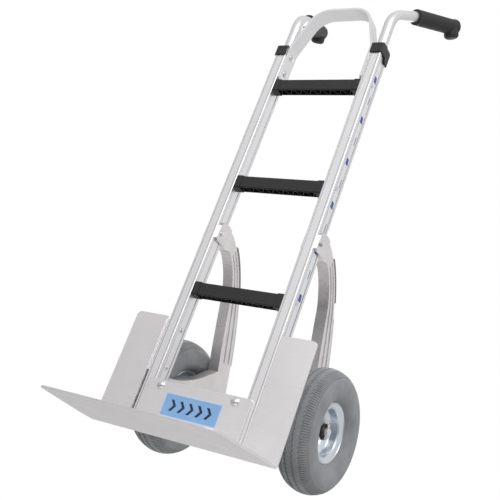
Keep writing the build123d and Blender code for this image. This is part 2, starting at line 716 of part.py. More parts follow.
NUT6_T = 5.0
with BuildPart() as guard_bolts:
    for side in (-1, 1):
        for z in GUARD_BOLT_ZS:
            face = RAIL_IN + RECESS_IN - SEAT
            reach = RAIL_OUT + ANGLE_T + NUT6_T - face
            dome(side * face, RAIL_MID_Y, z, 5.5, 3.0, -side, M6, reach)
save(guard_bolts.part, "guard_bolts")

with BuildPart() as guard_nuts:
    for side in (-1, 1):
        for z in GUARD_BOLT_ZS:
            a = RAIL_OUT + ANGLE_T + 2 * SEAT
            hexagon(side * a, side * (a + NUT6_T - 1), RAIL_MID_Y, z, 10.0)
            rod(side * (a - 1), side * (a + NUT6_T + 1), RAIL_MID_Y, z, M6 + SEAT, Mode.SUBTRACT)
save(guard_nuts.part, "guard_nuts")

# ---------------------------------------------------------------- wheel brackets
# stations down the curved arm: front edge and back edge, (behind the rail front, height)
ARM_FRONT = [
    (44, 464), (75, 468), (96, 457), (116, 439), (134, 416), (147, 394),
    (158, 362), (168, 331), (180, 295), (190, 266), (200, 240), (209, 216),
]
ARM_BACK = [
    (46, 506), (72, 503), (104, 485), (130, 463), (152, 438), (171, 412),
    (190, 382), (207, 350), (224, 315), (238, 283), (252, 247), (266, 206),
]
FOOT_TOP = [(42, 134), (66, 139), (95, 149), (120, 160), (147, 174), (175, 192), (196, 207), (209, 216)]
FOOT_LOW = [(266, 206), (284, 152), (274, 128), (214, 112), (175, 100), (120, 76), (42, 48)]
BOSS_R = 25.0
BOSS_OUT = RAIL_OUT + 1.0
GROOVE_D = 1.5


def between(f):
    """A curve down the arm, f of the way from its front edge to its back edge."""
    return [(RF + p[0] + f * (q[0] - p[0]), p[1] + f * (q[1] - p[1])) for p, q in zip(ARM_FRONT, ARM_BACK)]


def band(x0, x1, f0, f1, first=0, last=len(ARM_FRONT), mode=Mode.ADD):
    """The part of the arm between two of those curves, extruded along X."""
    one, two = between(f0)[first:last], between(f1)[first:last]
    with BuildSketch(side_plane(min(x0, x1))) as face:
        with BuildLine():
            Spline(*one)
            Spline(*two)
            Line(one[0], two[0])
            Line(one[-1], two[-1])
        make_face()
    extrude(face.sketch, amount=abs(x1 - x0), mode=mode)


def wheel_bracket(side):
    x0, x1 = side * (RX - ARM_W / 2), side * (RX + ARM_W / 2)
    ear_in, ear_out = side * (RAIL_IN - EAR_T), side * (RAIL_OUT + EAR_T)
    clear = RF + RAIL_D + GAP
    with BuildPart() as piece:
        band(x0, x1, 0.0, 1.0)
        with BuildSketch(side_plane(min(x0, x1))) as foot:
            with BuildLine():
                top = [(RF + a, b) for a, b in FOOT_TOP]
                Spline(*top)
                low = [(RF + a, b) for a, b in FOOT_LOW]
                Polyline(top[-1], *low, top[0])
            make_face()
        extrude(foot.sketch, amount=ARM_W)
        rod(side * (RX - ARM_W / 2 - 3), side * BOSS_OUT, AXLE_Y, AXLE_Z, BOSS_R)
        neck = [(36, 460), (34, 506), (52, 508), (74, 501), (86, 486), (84, 466), (60, 460)]
        prism(x0, x1, neck)
        ears = [(7, 464), (9, 496), (18, 507), (40, 509), (54, 506), (56, 470), (48, 460), (14, 459)]
        prism(ear_in, ear_out, ears)
        shoe = [(10, 44), (10, 116), (20, 126), (62, 134), (62, 56), (36, 40), (14, 40)]
        prism(side * (RAIL_OUT + SEAT), ear_out, shoe)
        knee = [(RAIL_D + 2, 50), (RAIL_D + 2, 132), (66, 137), (66, 60)]
        prism(x0, ear_out, knee)
        # room for the rail between the ears
        block(
            side * (RAIL_IN - SEAT), side * (RAIL_OUT + SEAT), RF - 1, clear,
            RAIL_BOTTOM, RAIL_TOP, Mode.SUBTRACT,
        )
        for face in (x0, x1):
            near, far = face - side * GROOVE_D, face + side * GROOVE_D
            band(near, far, 0.2, 0.42, 2, 11, Mode.SUBTRACT)
            band(near, far, 0.58, 0.8, 2, 11, Mode.SUBTRACT)
        rod(ear_in - side, ear_out + side, RAIL_MID_Y, EAR_BOLT_Z, M6 + HOLE, Mode.SUBTRACT)
        for z in FOOT_BOLT_ZS:
            rod(side * RAIL_OUT, ear_out + side, RAIL_MID_Y, z, M6 + HOLE, Mode.SUBTRACT)
        rod(side * (RX - 30), side * (RAIL_OUT + 9), AXLE_Y, AXLE_Z, AXLE_R + SEAT, Mode.SUBTRACT)
    return piece


bracket_left = wheel_bracket(-1)
save(bracket_left.part, "bracket_left")
bracket_right = wheel_bracket(1)
save(bracket_right.part, "bracket_right")

with BuildPart() as bracket_bolts:
    for side in (-1, 1):
        face = RAIL_IN - EAR_T - SEAT
        reach = RAIL_SPAN / 2 + EAR_T + NUT6_T - face
        dome(side * face, RAIL_MID_Y, EAR_BOLT_Z, 6.0, 3.2, -side, M6, reach)
        face = BASE_HALF - BASE_T - SEAT
        for z in FOOT_BOLT_ZS:
            dome(side * face, RAIL_MID_Y, z, 6.0, 3.2, -side, M6, reach - 1)
save(bracket_bolts.part, "bracket_bolts")

with BuildPart() as bracket_nuts:
    for side in (-1, 1):
        for z in (EAR_BOLT_Z,) + FOOT_BOLT_ZS:
            a = RAIL_OUT + EAR_T + SEAT
            hexagon(side * a, side * (a + NUT6_T - 1), RAIL_MID_Y, z, 10.0)
            rod(side * (a - 1), side * (a + NUT6_T + 1), RAIL_MID_Y, z, M6 + SEAT, Mode.SUBTRACT)
save(bracket_nuts.part, "bracket_nuts")

# ---------------------------------------------------------------- skids on the backs of the arms
SKID_W = 25.0
SKID_UPPER_T = 9.0
SKID_LOWER_T = 5.0


def pushed_out(points, t):
    """The points moved t along the outward normal of the curve through them."""
    out = []
    for i, (a, b) in enumerate(points):
        p, q = points[max(i - 1, 0)], points[min(i + 1, len(points) - 1)]
        dy, dz = q[0] - p[0], q[1] - p[1]
        n = (dy * dy + dz * dz) ** 0.5
        out.append((a - t * dz / n, b + t * dy / n))
    return out


def skid(side, first, last, thickness):
    base = between(1.0)
    one, two = between(0.8)[first:last], pushed_out(base, thickness)[first:last]
    arm_back, arm_mid = pushed_out(base, 2 * SEAT), between(0.5)
    with BuildPart() as piece:
        with BuildSketch(side_plane(side * RX - SKID_W / 2)) as face:
            with BuildLine():
                Spline(*one)
                Spline(*two)
                Line(one[0], two[0])
                Line(one[-1], two[-1])
            make_face()
            with BuildLine():
                Spline(*arm_back)
                Polyline(arm_back[0], *arm_mid, arm_back[-1])
            make_face(mode=Mode.SUBTRACT)
        extrude(face.sketch, amount=SKID_W)
    return piece


skid_upper_left = skid(-1, 2, 6, SKID_UPPER_T)
save(skid_upper_left.part, "skid_upper_left")
skid_upper_right = skid(1, 2, 6, SKID_UPPER_T)
save(skid_upper_right.part, "skid_upper_right")
skid_lower_left = skid(-1, 6, 11, SKID_LOWER_T)
save(skid_lower_left.part, "skid_lower_left")
skid_lower_right = skid(1, 6, 11, SKID_LOWER_T)
save(skid_lower_right.part, "skid_lower_right")

# ---------------------------------------------------------------- axle
FLANGE_T = 3.0
WASHER_T = 2.0
HUB_END_IN = WHEEL_X - HUB_IN - FLANGE_T
HUB_END_OUT = WHEEL_X + HUB_OUT + FLANGE_T
WASHER_X = HUB_END_OUT + GAP
PIN_X = WASHER_X + WASHER_T + 2.6
PIN_R = 2.0
AXLE_HALF = PIN_X + 7.0

with BuildPart() as axle:
    rod(-AXLE_HALF, AXLE_HALF, AXLE_Y, AXLE_Z, AXLE_R)
    chamfer(axle.edges().filter_by(GeomType.CIRCLE), 1.2)
    for side in (-1, 1):
        with BuildSketch(Plane.XY.offset(AXLE_Z - AXLE_R - 1)) as hole:
            with Locations((side * PIN_X, AXLE_Y)):
                Circle(PIN_R + HOLE)
        extrude(hole.sketch, amount=2 * AXLE_R + 2, mode=Mode.SUBTRACT)
save(axle.part, "axle")

with BuildPart() as axle_washers:
    for side in (-1, 1):
        inner_gap = HUB_END_IN - GAP - BOSS_OUT - SEAT
        rod(side * (BOSS_OUT + SEAT), side * (BOSS_OUT + SEAT + inner_gap), AXLE_Y, AXLE_Z, 17.0)
        rod(side * WASHER_X, side * (WASHER_X + WASHER_T), AXLE_Y, AXLE_Z, 17.0)
    rod(-AXLE_HALF - 1, AXLE_HALF + 1, AXLE_Y, AXLE_Z, AXLE_R + SEAT, Mode.SUBTRACT)
save(axle_washers.part, "axle_washers")

with BuildPart() as axle_pins:
    for side in (-1, 1):
        with BuildSketch(Plane.XY.offset(AXLE_Z - AXLE_R - 5)) as pin:
            with Locations((side * PIN_X, AXLE_Y)):
                Circle(PIN_R)
        extrude(pin.sketch, amount=2 * AXLE_R + 9)
        ring_z = AXLE_Z + AXLE_R + 8
        ring = Plane(origin=(side * PIN_X, AXLE_Y, ring_z), x_dir=(0, 1, 0), z_dir=(0, 0, 1))
        with BuildSketch(ring) as wire:
            with Locations((4.6, 0)):
                Circle(1.5)
        revolve(wire.sketch, axis=Axis((side * PIN_X, AXLE_Y, ring_z), (1, 0, 0)))
save(axle_pins.part, "axle_pins")

# ---------------------------------------------------------------- wheels
RIM_BOLT_COUNT = 4
SEAT_MID_R = RIM_SEAT_R - RIM_T / 2 - 0.5
RIM_SEAT = (RIM_LIP_X - 6, SEAT_MID_R)
RIM_FLANGE = [
    (RIM_LIP_X - 3.6, SEAT_MID_R + 2), (RIM_LIP_X - 2.6, SEAT_MID_R + 5), (RIM_LIP_X - 1.4, RIM_LIP_R - 5),
    (RIM_LIP_X - 0.4, RIM_LIP_R - 2.2), (RIM_LIP_X + 1.4, RIM_LIP_R - 1),
]


def shifted(points, h):
    """An open line of points moved sideways by h, with mitred corners; to its left for h > 0."""
    out = []
    for i, p in enumerate(points):
        normals = []
        for a, b in ((i - 1, i), (i, i + 1)):
            if a >= 0 and b < len(points):
                dx, dy = points[b][0] - points[a][0], points[b][1] - points[a][1]
                n = (dx * dx + dy * dy) ** 0.5
                normals.append((-dy / n, dx / n))
        nx, ny = sum(n[0] for n in normals), sum(n[1] for n in normals)
        k = h * len(normals) / (nx * nx + ny * ny)
        out.append((p[0] + k * nx, p[1] + k * ny))
    return out


def ribbon(points, t):
    """The outline of a band of thickness t along an open line of points."""
    return shifted(points, t / 2) + list(reversed(shifted(points, -t / 2)))


def tyre(side):
    half, seat = WHEEL_W / 2, SEAT_MID_R + RIM_T / 2 + 0.1
    bead = shifted([(10, SEAT_MID_R), RIM_SEAT] + RIM_FLANGE, RIM_T / 2 + 0.1)[1:]
    outer = bead + [
        (RIM_LIP_X + 1.6, RIM_LIP_R + 2.0), (31, 70), (37.5, 77), (41.3, 85.5),
        (half, 95), (41.6, 105), (38.2, 114), (32.5, 121), (25, 126.3), (20.5, 128.2), (20.0, 126.4),
        (17.2, 127), (16.8, 129.6), (9.4, 131.6), (9.0, 129.8), (6.0, 130.2), (5.6, 132.1), (0, WHEEL_R),
    ]
    inner = [
        (12.5, seat), (13, 60), (17, 68), (26, 74), (32.5, 83), (35.5, 95), (33.5, 107), (27, 117),
        (15, 122.5), (0, 124.5),
    ]
    mirrored = [(-x, r) for x, r in reversed(outer[:-1])]
    inner_back = [(-x, r) for x, r in inner[:-1]]
    points = outer + mirrored + inner_back + list(reversed(inner))
    with BuildPart() as piece:
        turned(points, side * WHEEL_X, AXLE_Y, AXLE_Z, side)
    return piece


def rim_holes(side):
    """Four bolt holes through both discs."""
    for i in range(RIM_BOLT_COUNT):
        a = pi / 4 + i * 2 * pi / RIM_BOLT_COUNT
        y, z = AXLE_Y + RIM_BOLT_R * cos(a), AXLE_Z + RIM_BOLT_R * sin(a)
        mid = side * (WHEEL_X + DISC_X)
        rod(mid - 6, mid + 6, y, z, M6 + HOLE, Mode.SUBTRACT)


def rim_outer(side):
    line = [
        (DISC_X + RIM_T / 2 + SEAT, HUB_R + SEAT), (DISC_X + RIM_T / 2 + SEAT, 36), (-4.5, 42),
        (0.5, SEAT_MID_R - 1.5), (3.5, SEAT_MID_R), RIM_SEAT, *RIM_FLANGE,
    ]
    with BuildPart() as piece:
        turned(ribbon(line, RIM_T), side * WHEEL_X, AXLE_Y, AXLE_Z, side)
        rim_holes(side)
    return piece


def rim_inner(side):
    line = [
        (DISC_X - RIM_T / 2 - SEAT, HUB_R + SEAT), (DISC_X - RIM_T / 2 - SEAT, 38), (-11.5, 43.5),
        (-14.0, SEAT_MID_R), (-RIM_SEAT[0], SEAT_MID_R), *[(-x, r) for x, r in RIM_FLANGE],
    ]
    with BuildPart() as piece:
        turned(ribbon(line, RIM_T), side * WHEEL_X, AXLE_Y, AXLE_Z, side)
        rim_holes(side)
    return piece


BUSH_LEN = 14.0
BUSH_WALL = 2.6


def hub(side):
    bore = AXLE_R + BUSH_WALL + SEAT
    points = [(-HUB_IN, bore), (-HUB_IN, HUB_R), (HUB_OUT, HUB_R), (HUB_OUT, bore)]
    with BuildPart() as piece:
        turned(points, side * WHEEL_X, AXLE_Y, AXLE_Z, side)
    return piece


def bushings(side):
    bore, r = AXLE_R + FIT, AXLE_R + BUSH_WALL
    flange = 17.0
    with BuildPart() as piece:
        for end, way in ((-HUB_IN, -1), (HUB_OUT, 1)):
            face = end + way * SEAT
            points = [
                (end - way * BUSH_LEN, bore), (end - way * BUSH_LEN, r), (face, r), (face, flange),
                (face + way * (FLANGE_T - SEAT - 0.6), flange),
                (face + way * (FLANGE_T - SEAT), flange - 1.2),
                (face + way * (FLANGE_T - SEAT), bore),
            ]
            turned(points, side * WHEEL_X, AXLE_Y, AXLE_Z, side)
    return piece


def rim_bolts(side):
    with BuildPart() as piece:
        for i in range(RIM_BOLT_COUNT):
            a = pi / 4 + i * 2 * pi / RIM_BOLT_COUNT
            y, z = AXLE_Y + RIM_BOLT_R * cos(a), AXLE_Z + RIM_BOLT_R * sin(a)
            x = WHEEL_X + DISC_X + RIM_T + 2 * SEAT
            hexagon(side * x, side * (x + 4.2), y, z, 10.0)
            rod(side * (x - RIM_T * 2 - 8.5), side * (x + 1), y, z, M6)
    return piece


def rim_nuts(side):
    with BuildPart() as piece:
        for i in range(RIM_BOLT_COUNT):
            a = pi / 4 + i * 2 * pi / RIM_BOLT_COUNT
            y, z = AXLE_Y + RIM_BOLT_R * cos(a), AXLE_Z + RIM_BOLT_R * sin(a)
            x = WHEEL_X + DISC_X - RIM_T - 2 * SEAT
            hexagon(side * x, side * (x - NUT6_T), y, z, 10.0)
            rod(side * (x - NUT6_T - 1), side * (x + 1), y, z, M6 + SEAT, Mode.SUBTRACT)
    return piece


for side, word in ((-1, "left"), (1, "right")):
    for make in (tyre, rim_outer, rim_inner, hub, bushings, rim_bolts, rim_nuts):
        save(make(side).part, make.__name__ + "_" + word)
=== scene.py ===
"""Aluminium hand truck: finishes, tyres, small details, camera and stage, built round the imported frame.

Metres. +Z up, +X to the right as seen from the load side, +Y from the load side to the user.
"""

import json
from math import cos, pi, radians, sin

import bpy
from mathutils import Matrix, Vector


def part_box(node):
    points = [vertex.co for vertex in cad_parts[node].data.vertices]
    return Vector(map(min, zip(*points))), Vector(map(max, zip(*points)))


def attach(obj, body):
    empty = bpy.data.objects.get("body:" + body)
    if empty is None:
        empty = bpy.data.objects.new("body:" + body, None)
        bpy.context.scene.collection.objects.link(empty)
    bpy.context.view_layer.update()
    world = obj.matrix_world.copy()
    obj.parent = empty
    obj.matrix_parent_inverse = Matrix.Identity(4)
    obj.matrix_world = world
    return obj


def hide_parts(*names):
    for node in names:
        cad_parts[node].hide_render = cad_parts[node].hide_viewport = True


bl_info = {
    "name": "Hand Truck",
    "version": (1, 0, 0),
    "blender": (4, 5, 0),
    "location": "View3D > Sidebar > Hand Truck",
    "description": "Finishes an aluminium hand truck: metal, plastic, rubber, tyres and small marks",
    "category": "Object",
}

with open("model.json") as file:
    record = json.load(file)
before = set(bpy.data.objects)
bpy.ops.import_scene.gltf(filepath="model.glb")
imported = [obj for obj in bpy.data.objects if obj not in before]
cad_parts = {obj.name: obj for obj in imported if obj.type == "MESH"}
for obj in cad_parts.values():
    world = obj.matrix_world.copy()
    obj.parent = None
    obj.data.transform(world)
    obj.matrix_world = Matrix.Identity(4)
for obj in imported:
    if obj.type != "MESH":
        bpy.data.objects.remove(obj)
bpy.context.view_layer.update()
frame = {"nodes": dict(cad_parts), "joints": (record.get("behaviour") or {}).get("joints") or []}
NODES = frame["nodes"]
MM = 0.001
SIDES = (("left", -1), ("right", 1))

# metal and plastic: tones as shares of the piece's own colour
# brighter metal edges: wear together with a painted edge highlight
WORN_EDGE_AND_HIGHLIGHT = 1.18
# recess tones: painted shade along a rail's recess edges, painted light on its recess floors
RECESS_SHADE_LINE = 0.26
RECESS_FLOOR_LIGHT = 1.12
# brighter plastic and rubber edges: polish together with a painted edge highlight
POLISHED_EDGE_AND_HIGHLIGHT = 1.5
PEBBLE_TOP = 2.6
METAL_DUST = (0.42, 0.40, 0.37)
RUBBER_DUST = (0.46, 0.44, 0.41)
# how far from a rail's middle its front face and its side faces begin
RAIL_FRONT_FACE = 18.5 * MM
RAIL_SIDE_FACE = 11.5 * MM


def spin_of(body):
    """Where a wheel turns: the place of its joint."""
    for joint in frame["joints"]:
        if joint["child"] == body:
            return Vector(joint["pos_m"])
    raise RuntimeError("no joint turns " + body)


# ---------------------------------------------------------------- settings a user would change
class TruckFinishSettings(bpy.types.PropertyGroup):
    rail_colour: bpy.props.FloatVectorProperty(
        name="Rail aluminium", description="Colour of the extruded rails",
        subtype="COLOR", size=3, min=0, max=1, default=(0.84, 0.83, 0.845))
    sheet_colour: bpy.props.FloatVectorProperty(
        name="Sheet aluminium", description="Colour of the toe plate, its wings and the base channel",
        subtype="COLOR", size=3, min=0, max=1, default=(0.86, 0.84, 0.85))
    bracket_colour: bpy.props.FloatVectorProperty(
        name="Bracket aluminium", description="Colour of the curved wheel brackets",
        subtype="COLOR", size=3, min=0, max=1, default=(0.82, 0.79, 0.795))
    plastic_colour: bpy.props.FloatVectorProperty(
        name="Black plastic", description="Colour of the rungs and the rail caps",
        subtype="COLOR", size=3, min=0, max=1, default=(0.015, 0.015, 0.016))
    tyre_colour: bpy.props.FloatVectorProperty(
        name="Tyre grey", description="Colour of the tyres' rubber",
        subtype="COLOR", size=3, min=0, max=1, default=(0.285, 0.297, 0.31))
    label_colour: bpy.props.FloatVectorProperty(
        name="Label blue", description="Colour of the label's field",
        subtype="COLOR", size=3, min=0, max=1, default=(0.18, 0.40, 0.72))
    edge_width: bpy.props.FloatProperty(
        name="Edge width", description="Width of the rounded, brighter edges",
        subtype="DISTANCE", unit="LENGTH", min=0, default=0.7 * MM)


class TruckTyreSettings(bpy.types.PropertyGroup):
    segments: bpy.props.IntProperty(
        name="Segments", description="Steps round the tyre's casing", min=32, default=192)
    shoulder_lugs: bpy.props.IntProperty(
        name="Shoulder lugs", description="Lugs round each shoulder of the tread", min=12, default=150)
    rib_waves: bpy.props.IntProperty(
        name="Rib waves", description="Waves round each rib of the tread", min=12, default=78)
    tread_depth: bpy.props.FloatProperty(
        name="Tread depth", description="Height of the tread above its grooves",
        subtype="DISTANCE", unit="LENGTH", min=0, default=2.0 * MM)


class TruckStageSettings(bpy.types.PropertyGroup):
    floor_colour: bpy.props.FloatVectorProperty(
        name="Floor", description="Colour of the floor", subtype="COLOR", size=3, min=0, max=1,
        default=(0.86, 0.86, 0.86))
    floor_radius: bpy.props.FloatProperty(
        name="Floor radius", description="Radius of the round floor", subtype="DISTANCE", unit="LENGTH",
        min=1, default=9.0)
    sky: bpy.props.FloatProperty(
        name="Sky", description="Strength of the soft light from all sides", min=0, default=0.82)
    key: bpy.props.FloatProperty(
        name="Key light", description="Power of the main light", unit="POWER", min=0, default=34.0)
    fill: bpy.props.FloatProperty(
        name="Fill light", description="Power of the light from the other side", unit="POWER", min=0,
        default=10.0)
    lens: bpy.props.FloatProperty(
        name="Lens", description="Focal length in millimetres", unit="CAMERA", min=10, default=61.57)


# ---------------------------------------------------------------- node helpers
def add(tree, kind, **values):
    """A node of a tree, with its properties set by name and its inputs by position or name."""
    node = tree.nodes.new(kind)
    for key, value in values.items():
        if key.startswith("in_"):
            key = key[3:]
            node.inputs[int(key) if key.isdigit() else key.replace("_", " ")].default_value = value
        else:
            setattr(node, key, value)
    return node


def wire(tree, *pairs):
    """Links (output, input) pairs."""
    for out, into in pairs:
        tree.links.new(out, into)


def math(tree, operation, a, b=None, clamp=False):
    """A Math node on two numbers or outputs; gives its output."""
    node = add(tree, "ShaderNodeMath", operation=operation, use_clamp=clamp)
    for slot, value in ((0, a), (1, b)):
        if value is None:
            continue
        if hasattr(value, "is_output"):
            tree.links.new(value, node.inputs[slot])
        else:
            node.inputs[slot].default_value = value
    return node.outputs[0]


def ramp(tree, fac, stops):
    """A colour ramp through (place, grey or colour) stops; gives its colour."""
    node = add(tree, "ShaderNodeValToRGB")
    tree.links.new(fac, node.inputs[0])
    elements = node.color_ramp.elements
    while len(elements) < len(stops):
        elements.new(0.5)
    for element, (place, tone) in zip(elements, stops):
        element.position = place
        element.color = (*tone, 1) if isinstance(tone, tuple) else (tone, tone, tone, 1)
    return node.outputs[0]


def mix(tree, fac, a, b, blend="MIX"):
    """A colour mix; each of the three may be a value or an output."""
    node = add(tree, "ShaderNodeMix", data_type="RGBA", blend_type=blend)
    for slot, value in ((0, fac), (6, a), (7, b)):
        if hasattr(value, "is_output"):
            tree.links.new(value, node.inputs[slot])
        else:
            is_colour = isinstance(value, tuple) and len(value) == 3
            node.inputs[slot].default_value = (*value, 1) if is_colour else value
    return node.outputs[2]


def shader_group(name, inputs, outputs):
    """An empty shader group with named sockets; gives its tree, its input node and its output node."""
    tree = bpy.data.node_groups.new(name, "ShaderNodeTree")
    for title, kind, default in inputs:
        socket = tree.interface.new_socket(title, in_out="INPUT", socket_type="NodeSocket" + kind)
        if default is not None:
            socket.default_value = default
    for title, kind in outputs:
        tree.interface.new_socket(title, in_out="OUTPUT", socket_type="NodeSocket" + kind)
    return tree, add(tree, "NodeGroupInput"), add(tree, "NodeGroupOutput")


def edge_wear_highlight_group():
    """Rounded edges: a normal that rounds them, and a mask that is bright along them, broken up a little; the
    bright mask stands for edge wear together with a painted edge highlight.
    """
    tree, start, end = shader_group(
        "Edge Wear And Highlight", [("Width", "Float", 0.0007), ("Amount", "Float", 1.0), ("Breakup", "Float", 0.5)],
        [("Mask", "Float"), ("Normal", "Vector")])
    soft = add(tree, "ShaderNodeBevel", samples=6)
    true = add(tree, "ShaderNodeNewGeometry")
    dot = add(tree, "ShaderNodeVectorMath", operation="DOT_PRODUCT")
    coords = add(tree, "ShaderNodeTexCoord")
    noise = add(tree, "ShaderNodeTexNoise", in_Scale=140.0, in_Detail=3.0)
    wire(tree, (start.outputs["Width"], soft.inputs["Radius"]), (soft.outputs[0], dot.inputs[0]),
         (true.outputs["Normal"], dot.inputs[1]), (coords.outputs["Object"], noise.inputs["Vector"]),
         (soft.outputs[0], end.inputs["Normal"]))
    away = math(tree, "SUBTRACT", 1.0, dot.outputs["Value"])
    turned = math(tree, "MULTIPLY", away, 5.0, clamp=True)
    hollow = math(tree, "SUBTRACT", 1.0, noise.outputs[0])
    rough = math(tree, "MULTIPLY", hollow, start.outputs["Breakup"])
    worn_and_lit = math(tree, "SUBTRACT", turned, rough, clamp=True)
    mask = math(tree, "MULTIPLY", worn_and_lit, start.outputs["Amount"])
    wire(tree, (mask, end.inputs["Mask"]))
    return tree


def grain_group():
    """Drawn or rolled metal: fine lines along one way, soft blotches, and a bump from both."""
    tree, start, end = shader_group(
        "Rolled Grain",
        [("Stretch", "Vector", (1.0, 1.0, 0.02)), ("Scale", "Float", 900.0), ("Depth", "Float", 0.15),
         ("Blotches", "Float", 14.0), ("Normal", "Vector", None)],
        [("Lines", "Float"), ("Blotch", "Float"), ("Normal", "Vector")])
    coords = add(tree, "ShaderNodeTexCoord")
    scaled = add(tree, "ShaderNodeVectorMath", operation="MULTIPLY")
    lines = add(tree, "ShaderNodeTexNoise", in_Detail=2.0, in_Roughness=0.6)
    blotch = add(tree, "ShaderNodeTexNoise", in_Detail=4.0, in_Roughness=0.55)
    bump = add(tree, "ShaderNodeBump", in_Distance=0.0002)
    wire(tree, (coords.outputs["Object"], scaled.inputs[0]), (start.outputs["Stretch"], scaled.inputs[1]),
         (scaled.outputs[0], lines.inputs["Vector"]), (start.outputs["Scale"], lines.inputs["Scale"]),
         (coords.outputs["Object"], blotch.inputs["Vector"]),
         (start.outputs["Blotches"], blotch.inputs["Scale"]),
         (lines.outputs[0], bump.inputs["Height"]), (start.outputs["Depth"], bump.inputs["Strength"]),
         (start.outputs["Normal"], bump.inputs["Normal"]), (lines.outputs[0], end.inputs["Lines"]),
         (blotch.outputs[0], end.inputs["Blotch"]), (bump.outputs[0], end.inputs["Normal"]))
    return tree


def moulded_group():
    """Moulded plastic or rubber: a fine pebbled grain and a slow change of tone."""
    tree, start, end = shader_group(
        "Moulded Grain",
        [("Scale", "Float", 1400.0), ("Depth", "Float", 0.2), ("Normal", "Vector", None)],
        [("Grain", "Float"), ("Tone", "Float"), ("Normal", "Vector")])
    coords = add(tree, "ShaderNodeTexCoord")
    grain = add(tree, "ShaderNodeTexVoronoi", feature="SMOOTH_F1", in_Randomness=1.0)
    tone = add(tree, "ShaderNodeTexNoise", in_Scale=24.0, in_Detail=5.0)
    bump = add(tree, "ShaderNodeBump", in_Distance=0.0003)
    wire(tree, (coords.outputs["Object"], grain.inputs["Vector"]),
         (start.outputs["Scale"], grain.inputs["Scale"]),
         (coords.outputs["Object"], tone.inputs["Vector"]),
         (grain.outputs["Distance"], bump.inputs["Height"]),
         (start.outputs["Depth"], bump.inputs["Strength"]), (start.outputs["Normal"], bump.inputs["Normal"]),
         (grain.outputs["Distance"], end.inputs["Grain"]), (tone.outputs[0], end.inputs["Tone"]),
         (bump.outputs[0], end.inputs["Normal"]))
    return tree


def dust_group():
    """A thin, patchy film of dust that is thicker near the floor."""
    tree, start, end = shader_group(
        "Floor Dust", [("Height", "Float", 0.30), ("Amount", "Float", 0.25)], [("Mask", "Float")])
    coords = add(tree, "ShaderNodeTexCoord")
    apart = add(tree, "ShaderNodeSeparateXYZ")
    noise = add(tree, "ShaderNodeTexNoise", in_Scale=30.0, in_Detail=6.0, in_Roughness=0.65)
    wire(tree, (coords.outputs["Object"], apart.inputs[0]),
         (coords.outputs["Object"], noise.inputs["Vector"]))
    level = math(tree, "DIVIDE", apart.outputs["Z"], start.outputs["Height"])
    low = math(tree, "SUBTRACT", 1.0, level, clamp=True)
    patch = math(tree, "SUBTRACT", noise.outputs[0], 0.38, clamp=True)
    patch = math(tree, "MULTIPLY", patch, 3.0, clamp=True)
    mask = math(tree, "MULTIPLY", math(tree, "MULTIPLY", low, patch), start.outputs["Amount"], clamp=True)
    wire(tree, (mask, end.inputs["Mask"]))
    return tree


def recess_light_shade_group():
    """Masks on a rail: fine lines where its flats step down into its shallow recesses, for painted shade, and
    a mask of the recesses, for painted light on their floors.
    """
    tree, start, end = shader_group(
        "Recess Painted Shade And Light",
        [("Rail X", "Float", 0.127), ("Rail Y", "Float", -0.03075), ("Front Half", "Float", 0.0085),
         ("Side Half", "Float", 0.0105), ("Line", "Float", 0.0011)],
        [("Lines", "Float"), ("Inside", "Float")])
    coords = add(tree, "ShaderNodeTexCoord")
    apart = add(tree, "ShaderNodeSeparateXYZ")
    wire(tree, (coords.outputs["Object"], apart.inputs[0]))
    from_middle = math(tree, "ABSOLUTE", apart.outputs["X"])
    across = math(tree, "ABSOLUTE", math(tree, "SUBTRACT", from_middle, start.outputs["Rail X"]))
    along = math(tree, "ABSOLUTE", math(tree, "SUBTRACT", apart.outputs["Y"], start.outputs["Rail Y"]))
    shade_lines, lit_floors = [], []
    for place, half, other, face in (
        (across, "Front Half", along, RAIL_FRONT_FACE),
        (along, "Side Half", across, RAIL_SIDE_FACE),
    ):
        on_face = math(tree, "GREATER_THAN", other, face)
        gap = math(tree, "SUBTRACT", place, start.outputs[half])
        near = math(tree, "DIVIDE", math(tree, "ABSOLUTE", gap), start.outputs["Line"])
        line = math(tree, "SUBTRACT", 1.0, near, clamp=True)
        shade_lines.append(math(tree, "MULTIPLY", line, on_face))
        lit_floors.append(math(tree, "MULTIPLY", math(tree, "LESS_THAN", gap, 0.0), on_face))
    wire(tree, (math(tree, "MAXIMUM", *shade_lines), end.inputs["Lines"]),
         (math(tree, "MAXIMUM", *lit_floors), end.inputs["Inside"]))
    return tree


GROUPS = {}


def group(tree, title, **values):
    """Places a shared effect in a material; it is built the first time it is asked for."""
    makers = {"Edge Wear And Highlight": edge_wear_highlight_group, "Rolled Grain": grain_group, "Moulded Grain": moulded_group,
              "Floor Dust": dust_group, "Recess Painted Shade And Light": recess_light_shade_group}
    if title not in GROUPS:
        GROUPS[title] = makers[title]()
    node = add(tree, "ShaderNodeGroup", node_tree=GROUPS[title])
    for key, value in values.items():
        node.inputs[key.replace("_", " ")].default_value = value
    return node


def new_material(name):
    """A material with an empty tree but for its Principled shader and its output."""
    material = bpy.data.materials.new(name)
    material.use_nodes = True
    tree = material.node_tree
    tree.nodes.clear()
    shader = add(tree, "ShaderNodeBsdfPrincipled")
    out = add(tree, "ShaderNodeOutputMaterial")
    wire(tree, (shader.outputs[0], out.inputs[0]))
    return material, tree, shader


def finish_settings():
    return bpy.context.scene.truck_finish


def tint(colour, by, plus=0.0):
    """A colour made darker or lighter by a factor, and lifted by a little."""
    return tuple(min(1.0, c * by + plus) for c in colour)


